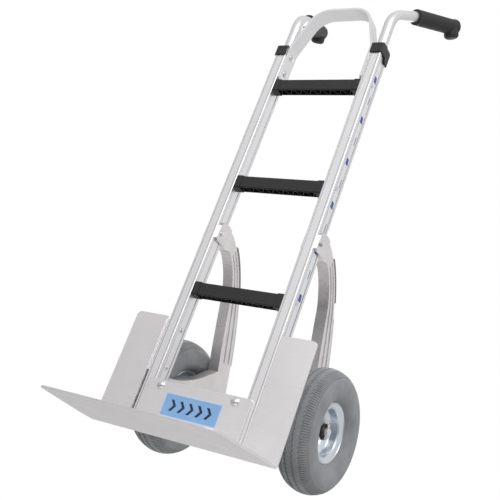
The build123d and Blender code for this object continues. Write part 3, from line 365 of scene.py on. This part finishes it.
def metal(name, colour, rough, stretch=(1, 1, 0.02), scale=900.0, depth=0.12, spread=0.1, dust=0.0,
          edge=1.0, blotches=14.0, contrast=0.06, recess_light_shade=0.0):
    """Bare metal with a grain, brighter edges from wear together with a painted highlight, where asked
    painted shade at recess edges and painted light on recess floors, and, low down, a little dust.
    """
    material, tree, shader = new_material(name)
    edge_wear_and_highlight = group(tree, "Edge Wear And Highlight", Width=finish_settings().edge_width, Amount=edge)
    grain = group(tree, "Rolled Grain", Stretch=stretch, Scale=scale, Depth=depth, Blotches=blotches)
    wire(tree, (edge_wear_and_highlight.outputs["Normal"], grain.inputs["Normal"]),
         (grain.outputs["Normal"], shader.inputs["Normal"]))
    tone = math(tree, "ADD", math(tree, "MULTIPLY", grain.outputs["Lines"], 0.5),
                math(tree, "MULTIPLY", grain.outputs["Blotch"], 0.5))
    body = ramp(tree, tone, [(0.36, tint(colour, 1 - contrast)), (0.64, tint(colour, 1 + contrast))])
    # brighter edges: wear together with a painted edge highlight
    body = mix(tree, edge_wear_and_highlight.outputs["Mask"], body, tint(colour, WORN_EDGE_AND_HIGHLIGHT))
    # painted shade along the recess edges and painted light on the recess floors
    if recess_light_shade:
        recess_paint = group(tree, "Recess Painted Shade And Light")
        for mask, by in (("Inside", RECESS_FLOOR_LIGHT), ("Lines", RECESS_SHADE_LINE)):
            share = math(tree, "MULTIPLY", recess_paint.outputs[mask], recess_light_shade)
            body = mix(tree, share, body, tint(colour, by))
    roughness = math(tree, "ADD", rough - spread / 2, math(tree, "MULTIPLY", tone, spread))
    polish = math(tree, "MULTIPLY", edge_wear_and_highlight.outputs["Mask"], 0.12)
    roughness = math(tree, "SUBTRACT", roughness, polish, clamp=True)
    shader.inputs["Metallic"].default_value = 1.0
    if dust:
        dusty = group(tree, "Floor Dust", Amount=dust).outputs[0]
        body = mix(tree, dusty, body, METAL_DUST)
        roughness = math(tree, "ADD", roughness, math(tree, "MULTIPLY", dusty, 0.35), clamp=True)
        bare = math(tree, "SUBTRACT", 1.0, math(tree, "MULTIPLY", dusty, 0.8))
        wire(tree, (bare, shader.inputs["Metallic"]))
    wire(tree, (body, shader.inputs["Base Color"]), (roughness, shader.inputs["Roughness"]))
    return material


def moulded(name, colour, rough, scale=1400.0, depth=0.2, spread=0.12, dust=0.0, edge=0.5, width=None,
            grain_tone=0.0):
    """Moulded plastic or rubber with a pebbled grain and slightly polished edges, whose brighter tone is a
    painted highlight as well as polish.
    """
    material, tree, shader = new_material(name)
    edge_wear_and_highlight = group(tree, "Edge Wear And Highlight", Width=width or finish_settings().edge_width, Amount=edge)
    grain = group(tree, "Moulded Grain", Scale=scale, Depth=depth)
    wire(tree, (edge_wear_and_highlight.outputs["Normal"], grain.inputs["Normal"]),
         (grain.outputs["Normal"], shader.inputs["Normal"]))
    body = ramp(tree, grain.outputs["Tone"], [(0.32, tint(colour, 0.86)), (0.68, tint(colour, 1.16))])
    if grain_tone:
        pebbles = math(tree, "MULTIPLY", grain.outputs["Grain"], grain_tone, clamp=True)
        body = mix(tree, pebbles, body, tint(colour, PEBBLE_TOP, 0.01))
    # brighter edges: polish together with a painted edge highlight
    body = mix(tree, math(tree, "MULTIPLY", edge_wear_and_highlight.outputs["Mask"], 0.5), body,
               tint(colour, POLISHED_EDGE_AND_HIGHLIGHT, 0.012))
    roughness = math(tree, "ADD", rough - spread / 2, math(tree, "MULTIPLY", grain.outputs["Tone"], spread))
    polish = math(tree, "MULTIPLY", edge_wear_and_highlight.outputs["Mask"], 0.08)
    roughness = math(tree, "SUBTRACT", roughness, polish, clamp=True)
    if dust:
        dusty = group(tree, "Floor Dust", Amount=dust, Height=0.36).outputs[0]
        body = mix(tree, dusty, body, RUBBER_DUST)
        roughness = math(tree, "ADD", roughness, math(tree, "MULTIPLY", dusty, 0.2), clamp=True)
    wire(tree, (body, shader.inputs["Base Color"]), (roughness, shader.inputs["Roughness"]))
    return material


def paint(material, *names):
    """Gives a material to CAD nodes."""
    for name in names:
        if name in NODES:
            NODES[name].data.materials.clear()
            NODES[name].data.materials.append(material)


def both(name):
    """The names of a left and right pair."""
    return [name + "_left", name + "_right"]


# ---------------------------------------------------------------- geometry helpers
def mesh_object(name, verts, faces, edges=()):
    """A new object in the scene, made of the given points and faces."""
    mesh = bpy.data.meshes.new(name)
    mesh.from_pydata([tuple(v) for v in verts], list(edges), faces)
    mesh.update()
    piece = bpy.data.objects.new(name, mesh)
    bpy.context.scene.collection.objects.link(piece)
    return piece


def settle(piece, name, body, material):
    """Turns a piece with a Geometry Nodes modifier into a plain mesh that rides on a body."""
    graph = bpy.context.evaluated_depsgraph_get()
    mesh = bpy.data.meshes.new_from_object(piece.evaluated_get(graph))
    mesh.name = name
    done = bpy.data.objects.new(name, mesh)
    bpy.context.scene.collection.objects.link(done)
    bpy.data.objects.remove(piece)
    mesh.materials.clear()
    mesh.materials.append(material)
    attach(done, body)
    return done


def geometry_tree(name, inputs):
    """An empty Geometry Nodes tree with named inputs; gives it with its input node and its output node."""
    tree = bpy.data.node_groups.new(name, "GeometryNodeTree")
    tree.interface.new_socket("Geometry", in_out="INPUT", socket_type="NodeSocketGeometry")
    for title, kind in inputs:
        tree.interface.new_socket(title, in_out="INPUT", socket_type="NodeSocket" + kind)
    tree.interface.new_socket("Geometry", in_out="OUTPUT", socket_type="NodeSocketGeometry")
    return tree, add(tree, "NodeGroupInput"), add(tree, "NodeGroupOutput")


def apply_tree(piece, tree, values):
    """Adds a Geometry Nodes modifier and sets its inputs by their sockets' identifiers."""
    modifier = piece.modifiers.new(tree.name, "NODES")
    modifier.node_group = tree
    for item in tree.interface.items_tree:
        if item.in_out == "INPUT" and item.name in values:
            modifier[item.identifier] = values[item.name]
    piece.update_tag()


WELD = 0.01 * MM


def lathe_tree():
    """Turns a profile about the X axis, joins lugs and ribs set round it, and moves the whole to a centre."""
    tree, start, end = geometry_tree(
        "Tyre Builder",
        [("Segments", "Int"), ("Lug", "Object"), ("Lugs", "Int"), ("Rib", "Object"), ("Waves", "Int"),
         ("Centre", "Vector"), ("Material", "Material")])
    size = add(tree, "GeometryNodeAttributeDomainSize")
    grid = add(tree, "GeometryNodeMeshGrid")
    index = add(tree, "GeometryNodeInputIndex")
    position = add(tree, "GeometryNodeInputPosition")
    sample = add(tree, "GeometryNodeSampleIndex", data_type="FLOAT_VECTOR", domain="POINT")
    turn = add(tree, "ShaderNodeVectorRotate", rotation_type="X_AXIS")
    place = add(tree, "GeometryNodeSetPosition")
    weld = add(tree, "GeometryNodeMergeByDistance", in_Distance=WELD)
    points = size.outputs["Point Count"]
    ring = math(tree, "FLOOR", math(tree, "DIVIDE", index.outputs[0], points))
    along = math(tree, "SUBTRACT", index.outputs[0], math(tree, "MULTIPLY", ring, points))
    angle = math(tree, "MULTIPLY", math(tree, "DIVIDE", ring, start.outputs["Segments"]), 2 * pi)
    wire(tree, (start.outputs["Geometry"], size.inputs[0]), (points, grid.inputs["Vertices Y"]),
         (math(tree, "ADD", start.outputs["Segments"], 1.0), grid.inputs["Vertices X"]),
         (start.outputs["Geometry"], sample.inputs["Geometry"]),
         (position.outputs[0], sample.inputs["Value"]),
         (along, sample.inputs["Index"]), (sample.outputs[0], turn.inputs["Vector"]),
         (angle, turn.inputs["Angle"]),
         (grid.outputs["Mesh"], place.inputs["Geometry"]), (turn.outputs[0], place.inputs["Position"]),
         (place.outputs[0], weld.inputs["Geometry"]))
    join = add(tree, "GeometryNodeJoinGeometry")
    wire(tree, (weld.outputs[0], join.inputs[0]))
    for thing, count in (("Lug", "Lugs"), ("Rib", "Waves")):
        info = add(tree, "GeometryNodeObjectInfo", transform_space="ORIGINAL")
        dots = add(tree, "GeometryNodePoints")
        number = add(tree, "GeometryNodeInputIndex")
        round_it = add(tree, "ShaderNodeCombineXYZ")
        set_on = add(tree, "GeometryNodeInstanceOnPoints")
        step = math(tree, "DIVIDE", 2 * pi, start.outputs[count])
        wire(tree, (start.outputs[thing], info.inputs[0]), (start.outputs[count], dots.inputs["Count"]),
             (math(tree, "MULTIPLY", number.outputs[0], step), round_it.inputs["X"]),
             (dots.outputs[0], set_on.inputs["Points"]),
             (info.outputs["Geometry"], set_on.inputs["Instance"]),
             (round_it.outputs[0], set_on.inputs["Rotation"]), (set_on.outputs[0], join.inputs[0]))
    move = add(tree, "GeometryNodeTransform")
    real = add(tree, "GeometryNodeRealizeInstances")
    close = add(tree, "GeometryNodeMergeByDistance", in_Distance=WELD)
    coat = add(tree, "GeometryNodeSetMaterial")
    wire(tree, (join.outputs[0], move.inputs["Geometry"]),
         (start.outputs["Centre"], move.inputs["Translation"]),
         (move.outputs[0], real.inputs[0]), (real.outputs[0], close.inputs["Geometry"]),
         (close.outputs[0], coat.inputs["Geometry"]), (start.outputs["Material"], coat.inputs["Material"]),
         (coat.outputs[0], end.inputs[0]))
    return tree


def row_tree():
    """Sets copies of a mark in a straight row."""
    tree, start, end = geometry_tree(
        "Mark Row", [("Mark", "Object"), ("Count", "Int"), ("First", "Vector"), ("Step", "Vector"),
                     ("Material", "Material")])
    info = add(tree, "GeometryNodeObjectInfo", transform_space="ORIGINAL")
    line = add(tree, "GeometryNodeMeshLine")
    set_on = add(tree, "GeometryNodeInstanceOnPoints")
    real = add(tree, "GeometryNodeRealizeInstances")
    coat = add(tree, "GeometryNodeSetMaterial")
    wire(tree, (start.outputs["Mark"], info.inputs[0]), (start.outputs["Count"], line.inputs["Count"]),
         (start.outputs["First"], line.inputs["Start Location"]),
         (start.outputs["Step"], line.inputs["Offset"]),
         (line.outputs[0], set_on.inputs["Points"]), (info.outputs["Geometry"], set_on.inputs["Instance"]),
         (set_on.outputs[0], real.inputs[0]), (real.outputs[0], coat.inputs["Geometry"]),
         (start.outputs["Material"], coat.inputs["Material"]), (coat.outputs[0], end.inputs[0]))
    return tree


# ---------------------------------------------------------------- tyres
def smooth_line(points, steps):
    """Points along a smooth curve through the given ones."""
    out = []
    last = len(points) - 1
    for i in range(last):
        p0, p1, p2, p3 = (points[max(i - 1, 0)], points[i], points[i + 1], points[min(i + 2, last)])
        for k in range(steps):
            t = k / steps
            out.append(tuple(
                0.5 * (2 * b + (c - a) * t + (2 * a - 5 * b + 4 * c - d) * t * t
                       + (3 * b - a - 3 * c + d) * t ** 3)
                for a, b, c, d in zip(p0, p1, p2, p3)))
    out.append(points[last])
    return out


# the tyre, in millimetres: distance from its middle along the axle, and radius
CROWN = [(0, 132.5), (8, 131.8), (15, 130.2), (21, 128.0), (27, 125.2), (33, 120.8), (38.2, 114.0)]
SIDEWALL = [
    (21.2, 52.2), (22.6, 58.0), (23.4, 62.2), (25.2, 65.6), (28.4, 67.6), (31.6, 70.0), (35.0, 73.4),
    (37.8, 77.4), (39.8, 81.6), (41.3, 86.4), (42.3, 92.0), (42.45, 97.0), (42.2, 102.0), (41.4, 106.6),
    (40.2, 110.6), (38.0, 114.4), (35.2, 117.3),
]
SIDEWALL_RINGS = [(74.6, 0.45), (77.6, 0.45), (109.4, 0.5)]  # radius and height
RING_HALF = 0.75
TREAD_STOPS = (33, 29, 25, 21, 17, 13, 9, 5, 0)
LUG_STOPS = (22.6, 26, 30, 34, 37.6)
LUG_RADIUS = 123.0
RIBS = ((0.0, 5.2, 1.7), (-14.4, 4.9, 1.7), (14.4, 4.9, 1.7))  # middle, half width and swing of the wave
RIB_STEPS = 4


def crown_radius(x):
    """Radius of the tread's outer surface, x millimetres from the tyre's middle."""
    x = abs(x)
    for (x0, r0), (x1, r1) in zip(CROWN, CROWN[1:]):
        if x <= x1:
            return r0 + (r1 - r0) * (x - x0) / (x1 - x0)
    return CROWN[-1][1]


def tyre_profile(depth):
    """The casing's outline from the inner bead round to the outer bead, in millimetres."""
    line = []
    for x, r in smooth_line(SIDEWALL, 4):
        lift = sum(h for at, h in SIDEWALL_RINGS if abs(r - at) < RING_HALF)
        line.append((x - lift, r))
    crown = [(x, crown_radius(x) - depth) for x in TREAD_STOPS]
    half = line + crown
    return [(-x, r) for x, r in half] + [(x, r) for x, r in reversed(half[:-1])]


def bar_mesh(stations):
    """A closed bar through four-cornered stations, with ends."""
    verts = [v for s in stations for v in s]
    faces = []
    for i in range(len(stations) - 1):
        a, b = 4 * i, 4 * (i + 1)
        for k in range(4):
            n = (k + 1) % 4
            faces.append((a + k, a + n, b + n, b + k))
    faces.append((3, 2, 1, 0))
    last = 4 * (len(stations) - 1)
    faces.append((last, last + 1, last + 2, last + 3))
    return verts, faces


def round_point(x, r, along):
    """A point at radius r, a distance along the tread from the top of the tyre."""
    a = along / r
    return Vector((x * MM, -r * sin(a) * MM, r * cos(a) * MM))


def lug_object(pitch, depth):
    """One lug on each shoulder: a narrow bar that runs from the tread over the shoulder."""
    verts, faces = [], []
    for side in (-1, 1):
        stations = []
        for x in LUG_STOPS:
            outer = crown_radius(x) - (0.5 if x in (LUG_STOPS[0], LUG_STOPS[-1]) else 0.1)
            inner = crown_radius(x) - depth - 1.0
            if x > 34:
                inner = outer - 2.6
            half = 0.34 * pitch if x < 36 else 0.26 * pitch
            slant = side * (x - 30) * 0.06
            corners = [(inner, -half * 1.2), (inner, half * 1.2), (outer, half), (outer, -half)]
            stations.append([round_point(side * x, r, s + slant) for r, s in corners])
        if side < 0:
            stations = [list(reversed(s)) for s in stations]
        v, f = bar_mesh(stations)
        faces += [tuple(i + len(verts) for i in face) for face in f]
        verts += v
    return mesh_object("lug_source", verts, faces)


def rib_object(pitch, depth):
    """One wave of each of the three ribs round the tread."""
    verts, faces = [], []
    for middle, half, swing in RIBS:
        stations = []
        for i in range(RIB_STEPS + 1):
            t = i / RIB_STEPS
            shift = swing * (1 - abs(2 * t - 1) * 2) * (1 if middle >= 0 else -1)
            x0, x1 = middle + shift - half, middle + shift + half
            ring = []
            for x, top in ((x0 - 0.5, False), (x0, True), (x1, True), (x1 + 0.5, False)):
                r = crown_radius(x) - (0.12 if top else depth + 0.8)
                ring.append(round_point(x, r, (t - 0.5) * pitch * r / CROWN[0][1]))
            stations.append(ring)
        v, f = bar_mesh(stations)
        f = [tuple(reversed(face)) for face in f[:-2]]
        faces += [tuple(i + len(verts) for i in face) for face in f]
        verts += v
    return mesh_object("rib_source", verts, faces)


class TRUCK_OT_tyres(bpy.types.Operator):
    """Builds both tyres: casing, shoulder lugs and zigzag ribs"""

    bl_idname = "truck.tyres"
    bl_label = "Tyres"

    def execute(self, context):
        s = context.scene.truck_tyre
        rubber = moulded("grey_rubber", tuple(finish_settings().tyre_colour), 0.62, scale=2200.0, depth=0.12,
                         dust=0.05, edge=0.7, width=0.6 * MM)
        tree = lathe_tree()
        depth = s.tread_depth / MM
        lug = lug_object(2 * pi * LUG_RADIUS / s.shoulder_lugs, depth)
        rib = rib_object(2 * pi * CROWN[0][1] / s.rib_waves, depth)
        outline = [Vector((x * MM, 0, r * MM)) for x, r in tyre_profile(depth)]
        edges = [(i, i + 1) for i in range(len(outline) - 1)]
        for word, _ in SIDES:
            body = "wheel_" + word
            piece = mesh_object("tyre_source", outline, [], edges)
            apply_tree(piece, tree, {
                "Segments": s.segments, "Lug": lug, "Lugs": s.shoulder_lugs, "Rib": rib, "Waves": s.rib_waves,
                "Centre": spin_of(body), "Material": rubber})
            tyre = settle(piece, "tyre_treaded_" + word, body, rubber)
            tyre.data.set_sharp_from_angle(angle=radians(38))
            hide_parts("tyre_" + word)
        bpy.data.objects.remove(lug)
        bpy.data.objects.remove(rib)
        return {"FINISHED"}


# ---------------------------------------------------------------- metal
class TRUCK_OT_frame_metal(bpy.types.Operator):
    """Gives the rails, sheet, brackets, loop and tubes their aluminium"""

    bl_idname = "truck.frame_metal"
    bl_label = "Frame metal"

    def execute(self, context):
        s = finish_settings()
        # the rail's recesses get painted shade at their edges and painted light on their floors
        rail = metal("rail_aluminium", tuple(s.rail_colour), 0.34, stretch=(1, 1, 0.012), scale=700.0,
                     depth=0.10, contrast=0.05, recess_light_shade=0.85)
        paint(rail, *both("rail"))
        sheet = metal("sheet_aluminium", tuple(s.sheet_colour), 0.44, stretch=(0.02, 1, 1), scale=800.0,
                      depth=0.08, spread=0.12, dust=0.10, contrast=0.04, blotches=9.0)
        paint(sheet, "toe_plate", "base_channel", "guard_angles")
        bracket = metal("bracket_aluminium", tuple(s.bracket_colour), 0.36, stretch=(0.25, 1, 1), scale=420.0,
                        depth=0.16, spread=0.16, dust=0.06, contrast=0.10, blotches=22.0)
        paint(bracket, *both("bracket"))
        loop = metal("loop_aluminium", tint(s.rail_colour, 1.03), 0.36, stretch=(1, 0.03, 1), scale=800.0,
                     depth=0.08, contrast=0.03)
        paint(loop, "top_loop")
        tube = metal("tube_aluminium", tint(s.rail_colour, 0.95), 0.38, stretch=(1, 1, 0.05), scale=700.0,
                     depth=0.08, contrast=0.04)
        paint(tube, *both("handle"))
        wear_strip = metal("wear_strip", (0.56, 0.56, 0.57), 0.42, stretch=(1, 0.4, 0.1), scale=500.0,
                           depth=0.2, contrast=0.12)
        paint(wear_strip, *both("skid_lower"))
        return {"FINISHED"}


class TRUCK_OT_plated_steel(bpy.types.Operator):
    """Gives the rims, hubs, axle and fasteners their zinc plating"""

    bl_idname = "truck.plated_steel"
    bl_label = "Plated steel"

    def execute(self, context):
        rim = metal("zinc_rim", (0.74, 0.79, 0.84), 0.30, stretch=(1, 1, 1), scale=90.0, depth=0.03,
                    spread=0.05, contrast=0.05)
        paint(rim, *both("rim_outer"), *both("rim_inner"))
        bolt = metal("bright_zinc", (0.74, 0.74, 0.76), 0.24, stretch=(1, 1, 1), scale=400.0, depth=0.06,
                     contrast=0.08, blotches=120.0)
        paint(bolt, *both("rim_bolts"), *both("rim_nuts"), *both("hub"), "axle", "axle_pins",
              "bracket_bolts", "bracket_nuts", "cap_screws", "crossbar_screws", "guard_bolts", "guard_nuts",
              "loop_rivets", "toe_bolts", "toe_nuts")
        return {"FINISHED"}


class TRUCK_OT_plastic(bpy.types.Operator):
    """Gives the rungs, caps, grips, bushings and skids their plastic and rubber"""

    bl_idname = "truck.plastic"
    bl_label = "Plastic and rubber"

    def execute(self, context):
        black = moulded("black_plastic", tuple(finish_settings().plastic_colour), 0.46, scale=1500.0,
                        depth=0.16)
        paint(black, "crossbar_bottom", "crossbar_middle", "crossbar_top", *both("rail_cap"),
              *both("bushings"), "axle_washers")
        rubber = moulded("grip_rubber", (0.019, 0.019, 0.020), 0.62, scale=700.0, depth=0.45, grain_tone=0.18)
        paint(rubber, *both("grip"))
        skid = moulded("skid_plastic", (0.20, 0.20, 0.205), 0.5, scale=900.0, depth=0.3, spread=0.2)
        paint(skid, *both("skid_upper"))
        return {"FINISHED"}


# ---------------------------------------------------------------- label and strips
def film(name, colour, rough, border=None, limits=None, fade=0.12):
    """Printed film; with limits, a pale border inside the edge of a front-facing plate."""
    material, tree, shader = new_material(name)
    body = colour
    if border:
        (x0, z0), (x1, z1), width = limits
        coords = add(tree, "ShaderNodeTexCoord")
        apart = add(tree, "ShaderNodeSeparateXYZ")
        wire(tree, (coords.outputs["Object"], apart.inputs[0]))
        inside = None
        for out, low, high in ((apart.outputs["X"], x0, x1), (apart.outputs["Z"], z0, z1)):
            for test in (math(tree, "GREATER_THAN", out, low + width),
                         math(tree, "LESS_THAN", out, high - width)):
                inside = test if inside is None else math(tree, "MULTIPLY", inside, test)
        body = mix(tree, inside, border, colour)
    grain = group(tree, "Moulded Grain", Scale=600.0, Depth=0.03)
    tone = mix(tree, math(tree, "MULTIPLY", grain.outputs["Tone"], fade), body, (1.0, 1.0, 1.0))
    wire(tree, (tone, shader.inputs["Base Color"]), (grain.outputs["Normal"], shader.inputs["Normal"]))
    shader.inputs["Roughness"].default_value = rough
    shader.inputs["Coat Weight"].default_value = 0.3 if fade > 0.05 else 0.0
    return material


def plate_mark(name, outline, normal_axis, thickness):
    """A thin solid mark with an outline in millimetres; its back lies on the plane of the outline."""
    count = len(outline)
    if normal_axis == "Y":
        front = [Vector((a * MM, -thickness, b * MM)) for a, b in outline]
        back = [Vector((a * MM, 0, b * MM)) for a, b in outline]
    else:
        front = [Vector((thickness, a * MM, b * MM)) for a, b in outline]
        back = [Vector((0, a * MM, b * MM)) for a, b in outline]
    faces = [tuple(range(count)), tuple(range(2 * count - 1, count - 1, -1))]
    faces += [(i, i + count, (i + 1) % count + count, (i + 1) % count) for i in range(count)]
    return mesh_object(name, front + back, faces)


MARK_THICKNESS = 0.08 * MM
LABEL_BORDER = 2.2 * MM
ARROW = [(-8, -12), (-1, -12), (8, 0), (-1, 12), (-8, 12), (1, 0)]
ARROWS = 5
ARROW_FIRST = -0.044
ARROW_STEP = 0.022
# the marks on a strip: outline in millimetres, how many, height of the first, and shift along the depth
STRIP_BLOCK = ([(-6.5, -8), (6.5, -8), (4, 8), (-6.5, 8)], 6, 0.352, 0.0)
STRIP_TICK = ([(-1.6, -11), (1.6, -11), (1.6, 11), (-1.6, 11)], 5, 0.408, 0.003)
STRIP_STEP = 0.112


class TRUCK_OT_marks(bpy.types.Operator):
    """Prints the label and the rail strips, with plain arrows and ticks"""

    bl_idname = "truck.marks"
    bl_label = "Label and strips"

    def execute(self, context):
        blue = tuple(finish_settings().label_colour)
        low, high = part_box("label_plate")
        limits = ((low.x, low.z), (high.x, high.z), LABEL_BORDER)
        paint(film("label_film", blue, 0.34, (0.50, 0.68, 0.86), limits), "label_plate")
        paint(film("strip_film", (0.80, 0.82, 0.86), 0.30), *both("strip"))
        navy = film("navy_print", (0.004, 0.012, 0.055), 0.5, fade=0.01)
        strip_blue = film("blue_print", (0.05, 0.09, 0.36), 0.5, fade=0.02)
        grey = film("grey_print", (0.22, 0.23, 0.32), 0.5, fade=0.02)
        tree = row_tree()
        middle = (low.z + high.z) / 2
        mark = plate_mark("arrow_source", ARROW, "Y", MARK_THICKNESS)
        piece = mesh_object("arrow_row", [], [])
        apply_tree(piece, tree, {"Mark": mark, "Count": ARROWS, "First": Vector((ARROW_FIRST, low.y, middle)),
                                 "Step": Vector((ARROW_STEP, 0, 0)), "Material": navy})
        settle(piece, "label_arrows", "frame", navy)
        bpy.data.objects.remove(mark)
        for word, side in SIDES:
            low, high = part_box("strip_" + word)
            face = high.x if side > 0 else low.x
            y = (low.y + high.y) / 2
            for title, row, coat in (("blocks", STRIP_BLOCK, strip_blue), ("ticks", STRIP_TICK, grey)):
                outline, count, first, shift = row
                if side < 0:
                    outline = list(reversed(outline))
                mark = plate_mark("mark_source", outline, "X", side * MARK_THICKNESS)
                piece = mesh_object("mark_row", [], [])
                apply_tree(piece, tree, {"Mark": mark, "Count": count,
                                         "First": Vector((face, y + shift, first)),
                                         "Step": Vector((0, 0, STRIP_STEP)), "Material": coat})
                settle(piece, "strip_" + title + "_" + word, "frame", coat)
                bpy.data.objects.remove(mark)
        return {"FINISHED"}


# ---------------------------------------------------------------- stage
SENSOR_WIDTH = 36.0
CAMERA_PLACE = (0.978, -1.4719, -0.2299)
CAMERA_RIGHT = Vector((0.84166, 0.42751, 0.32993))
CAMERA_UP = Vector((-0.09880, -0.47875, 0.87237))
LIGHT_TARGET = Vector((0, 0, 0.55))
FLOOR_SIDES = 96
FLOOR_DROP = 0.5 * MM


def soft_lamp(name, place, size, power):
    """A round, soft lamp that looks at the middle of the truck."""
    data = bpy.data.lights.new(name, "AREA")
    data.shape, data.size, data.energy = "DISK", size, power
    lamp = bpy.data.objects.new(name, data)
    lamp.location = place
    lamp.rotation_euler = (LIGHT_TARGET - Vector(place)).to_track_quat("-Z", "Y").to_euler()
    bpy.context.scene.collection.objects.link(lamp)


def studio_world(strength):
    """Soft light from all sides: darker low down in front of the truck and on the far left."""
    world = bpy.data.worlds.new("studio")
    bpy.context.scene.world = world
    world.use_nodes = True
    tree = world.node_tree
    tree.nodes.clear()
    path = add(tree, "ShaderNodeLightPath")
    coords = add(tree, "ShaderNodeTexCoord")
    apart = add(tree, "ShaderNodeSeparateXYZ")
    wire(tree, (coords.outputs["Generated"], apart.inputs[0]))
    height = math(tree, "MULTIPLY", math(tree, "ADD", apart.outputs["Z"], 1.0), 0.5)
    rise = ramp(tree, height, [(0.0, 0.86), (0.45, 0.84), (0.55, 0.86), (0.85, 1.0)])
    front = math(tree, "MULTIPLY", apart.outputs["Y"], -1.5, clamp=True)
    low = math(tree, "MULTIPLY", math(tree, "SUBTRACT", 0.52, height), 6.0, clamp=True)
    leftward = math(tree, "MULTIPLY", apart.outputs["X"], -1.0)
    left = math(tree, "MULTIPLY", math(tree, "SUBTRACT", leftward, 0.35), 1.3, clamp=True)
    low_front = math(tree, "MULTIPLY", math(tree, "MULTIPLY", front, low), 0.66)
    shade = math(tree, "MAXIMUM", low_front, math(tree, "MULTIPLY", left, 0.34))
    tone = mix(tree, shade, rise, (0.0, 0.0, 0.0))
    soft = add(tree, "ShaderNodeBackground", in_Strength=strength)
    plain = add(tree, "ShaderNodeBackground", in_Color=(1, 1, 1, 1), in_Strength=1.0)
    blend = add(tree, "ShaderNodeMixShader")
    out = add(tree, "ShaderNodeOutputWorld")
    wire(tree, (tone, soft.inputs["Color"]), (path.outputs["Is Camera Ray"], blend.inputs[0]),
         (soft.outputs[0], blend.inputs[1]), (plain.outputs[0], blend.inputs[2]),
         (blend.outputs[0], out.inputs[0]))


def paper_floor(radius, colour):
    """A round, pale floor that is clear from below."""
    turns = [2 * pi * i / FLOOR_SIDES for i in range(FLOOR_SIDES)]
    rim = [(radius * cos(turn), radius * sin(turn), -FLOOR_DROP) for turn in turns]
    floor = mesh_object("floor", rim, [tuple(range(FLOOR_SIDES))])
    material, tree, shader = new_material("floor_paper")
    shader.inputs["Base Color"].default_value = (*colour, 1)
    shader.inputs["Roughness"].default_value = 0.9
    shader.inputs["Specular IOR Level"].default_value = 0.1
    side_of = add(tree, "ShaderNodeNewGeometry")
    clear = add(tree, "ShaderNodeBsdfTransparent")
    blend = add(tree, "ShaderNodeMixShader")
    out = next(n for n in tree.nodes if n.bl_idname == "ShaderNodeOutputMaterial")
    wire(tree, (side_of.outputs["Backfacing"], blend.inputs[0]), (shader.outputs[0], blend.inputs[1]),
         (clear.outputs[0], blend.inputs[2]), (blend.outputs[0], out.inputs[0]))
    floor.data.materials.append(material)
    floor.visible_diffuse = False
    floor.visible_glossy = False
    floor.visible_shadow = False


def place_camera(lens):
    """The camera, turned by its right and up directions."""
    data = bpy.data.cameras.new("camera")
    data.sensor_width, data.lens = SENSOR_WIDTH, lens
    camera = bpy.data.objects.new("camera", data)
    back = CAMERA_RIGHT.cross(CAMERA_UP).normalized()
    up = back.cross(CAMERA_RIGHT).normalized()
    right = up.cross(back)
    for i in range(3):
        camera.matrix_world[i][0] = right[i]
        camera.matrix_world[i][1] = up[i]
        camera.matrix_world[i][2] = back[i]
    camera.location = CAMERA_PLACE
    bpy.context.scene.collection.objects.link(camera)
    bpy.context.scene.camera = camera


class TRUCK_OT_stage(bpy.types.Operator):
    """Sets up the floor, the soft light and the camera"""

    bl_idname = "truck.stage"
    bl_label = "Stage"

    def execute(self, context):
        s = context.scene.truck_stage
        context.scene.view_settings.view_transform = "Standard"
        studio_world(s.sky)
        paper_floor(s.floor_radius, s.floor_colour)
        soft_lamp("key_light", (2.0, -2.2, 2.4), 2.2, s.key)
        soft_lamp("front_light", (0.3, -3.2, 1.4), 1.8, s.fill * 1.3)
        soft_lamp("fill_light", (-2.7, 0.5, 1.6), 2.0, s.fill * 0.8)
        soft_lamp("back_light", (-0.6, 2.6, 2.0), 1.8, s.fill * 1.4)
        place_camera(s.lens)
        return {"FINISHED"}


class TRUCK_PT_panel(bpy.types.Panel):
    """Lists the steps in the sidebar"""

    bl_idname = "TRUCK_PT_panel"
    bl_label = "Hand Truck"
    bl_space_type = "VIEW_3D"
    bl_region_type = "UI"
    bl_category = "Hand Truck"

    def draw(self, context):
        for operator in OPERATORS:
            self.layout.operator(operator.bl_idname)
        for title in ("truck_finish", "truck_tyre", "truck_stage"):
            settings = getattr(context.scene, title)
            box = self.layout.box()
            for name in settings.__annotations__:
                box.prop(settings, name)


SETTINGS = {
    "truck_finish": TruckFinishSettings,
    "truck_tyre": TruckTyreSettings,
    "truck_stage": TruckStageSettings,
}
OPERATORS = (TRUCK_OT_stage, TRUCK_OT_frame_metal, TRUCK_OT_plated_steel, TRUCK_OT_plastic, TRUCK_OT_tyres,
             TRUCK_OT_marks)


def register():
    for cls in (*SETTINGS.values(), *OPERATORS, TRUCK_PT_panel):
        bpy.utils.register_class(cls)
    for title, cls in SETTINGS.items():
        setattr(bpy.types.Scene, title, bpy.props.PointerProperty(type=cls))


def unregister():
    for title in SETTINGS:
        delattr(bpy.types.Scene, title)
    for cls in reversed((*SETTINGS.values(), *OPERATORS, TRUCK_PT_panel)):
        bpy.utils.unregister_class(cls)


def main():
    register()
    for operator in OPERATORS:
        family, step = operator.bl_idname.split(".")
        getattr(getattr(bpy.ops, family), step)()


if __name__ == "__main__":
    main()
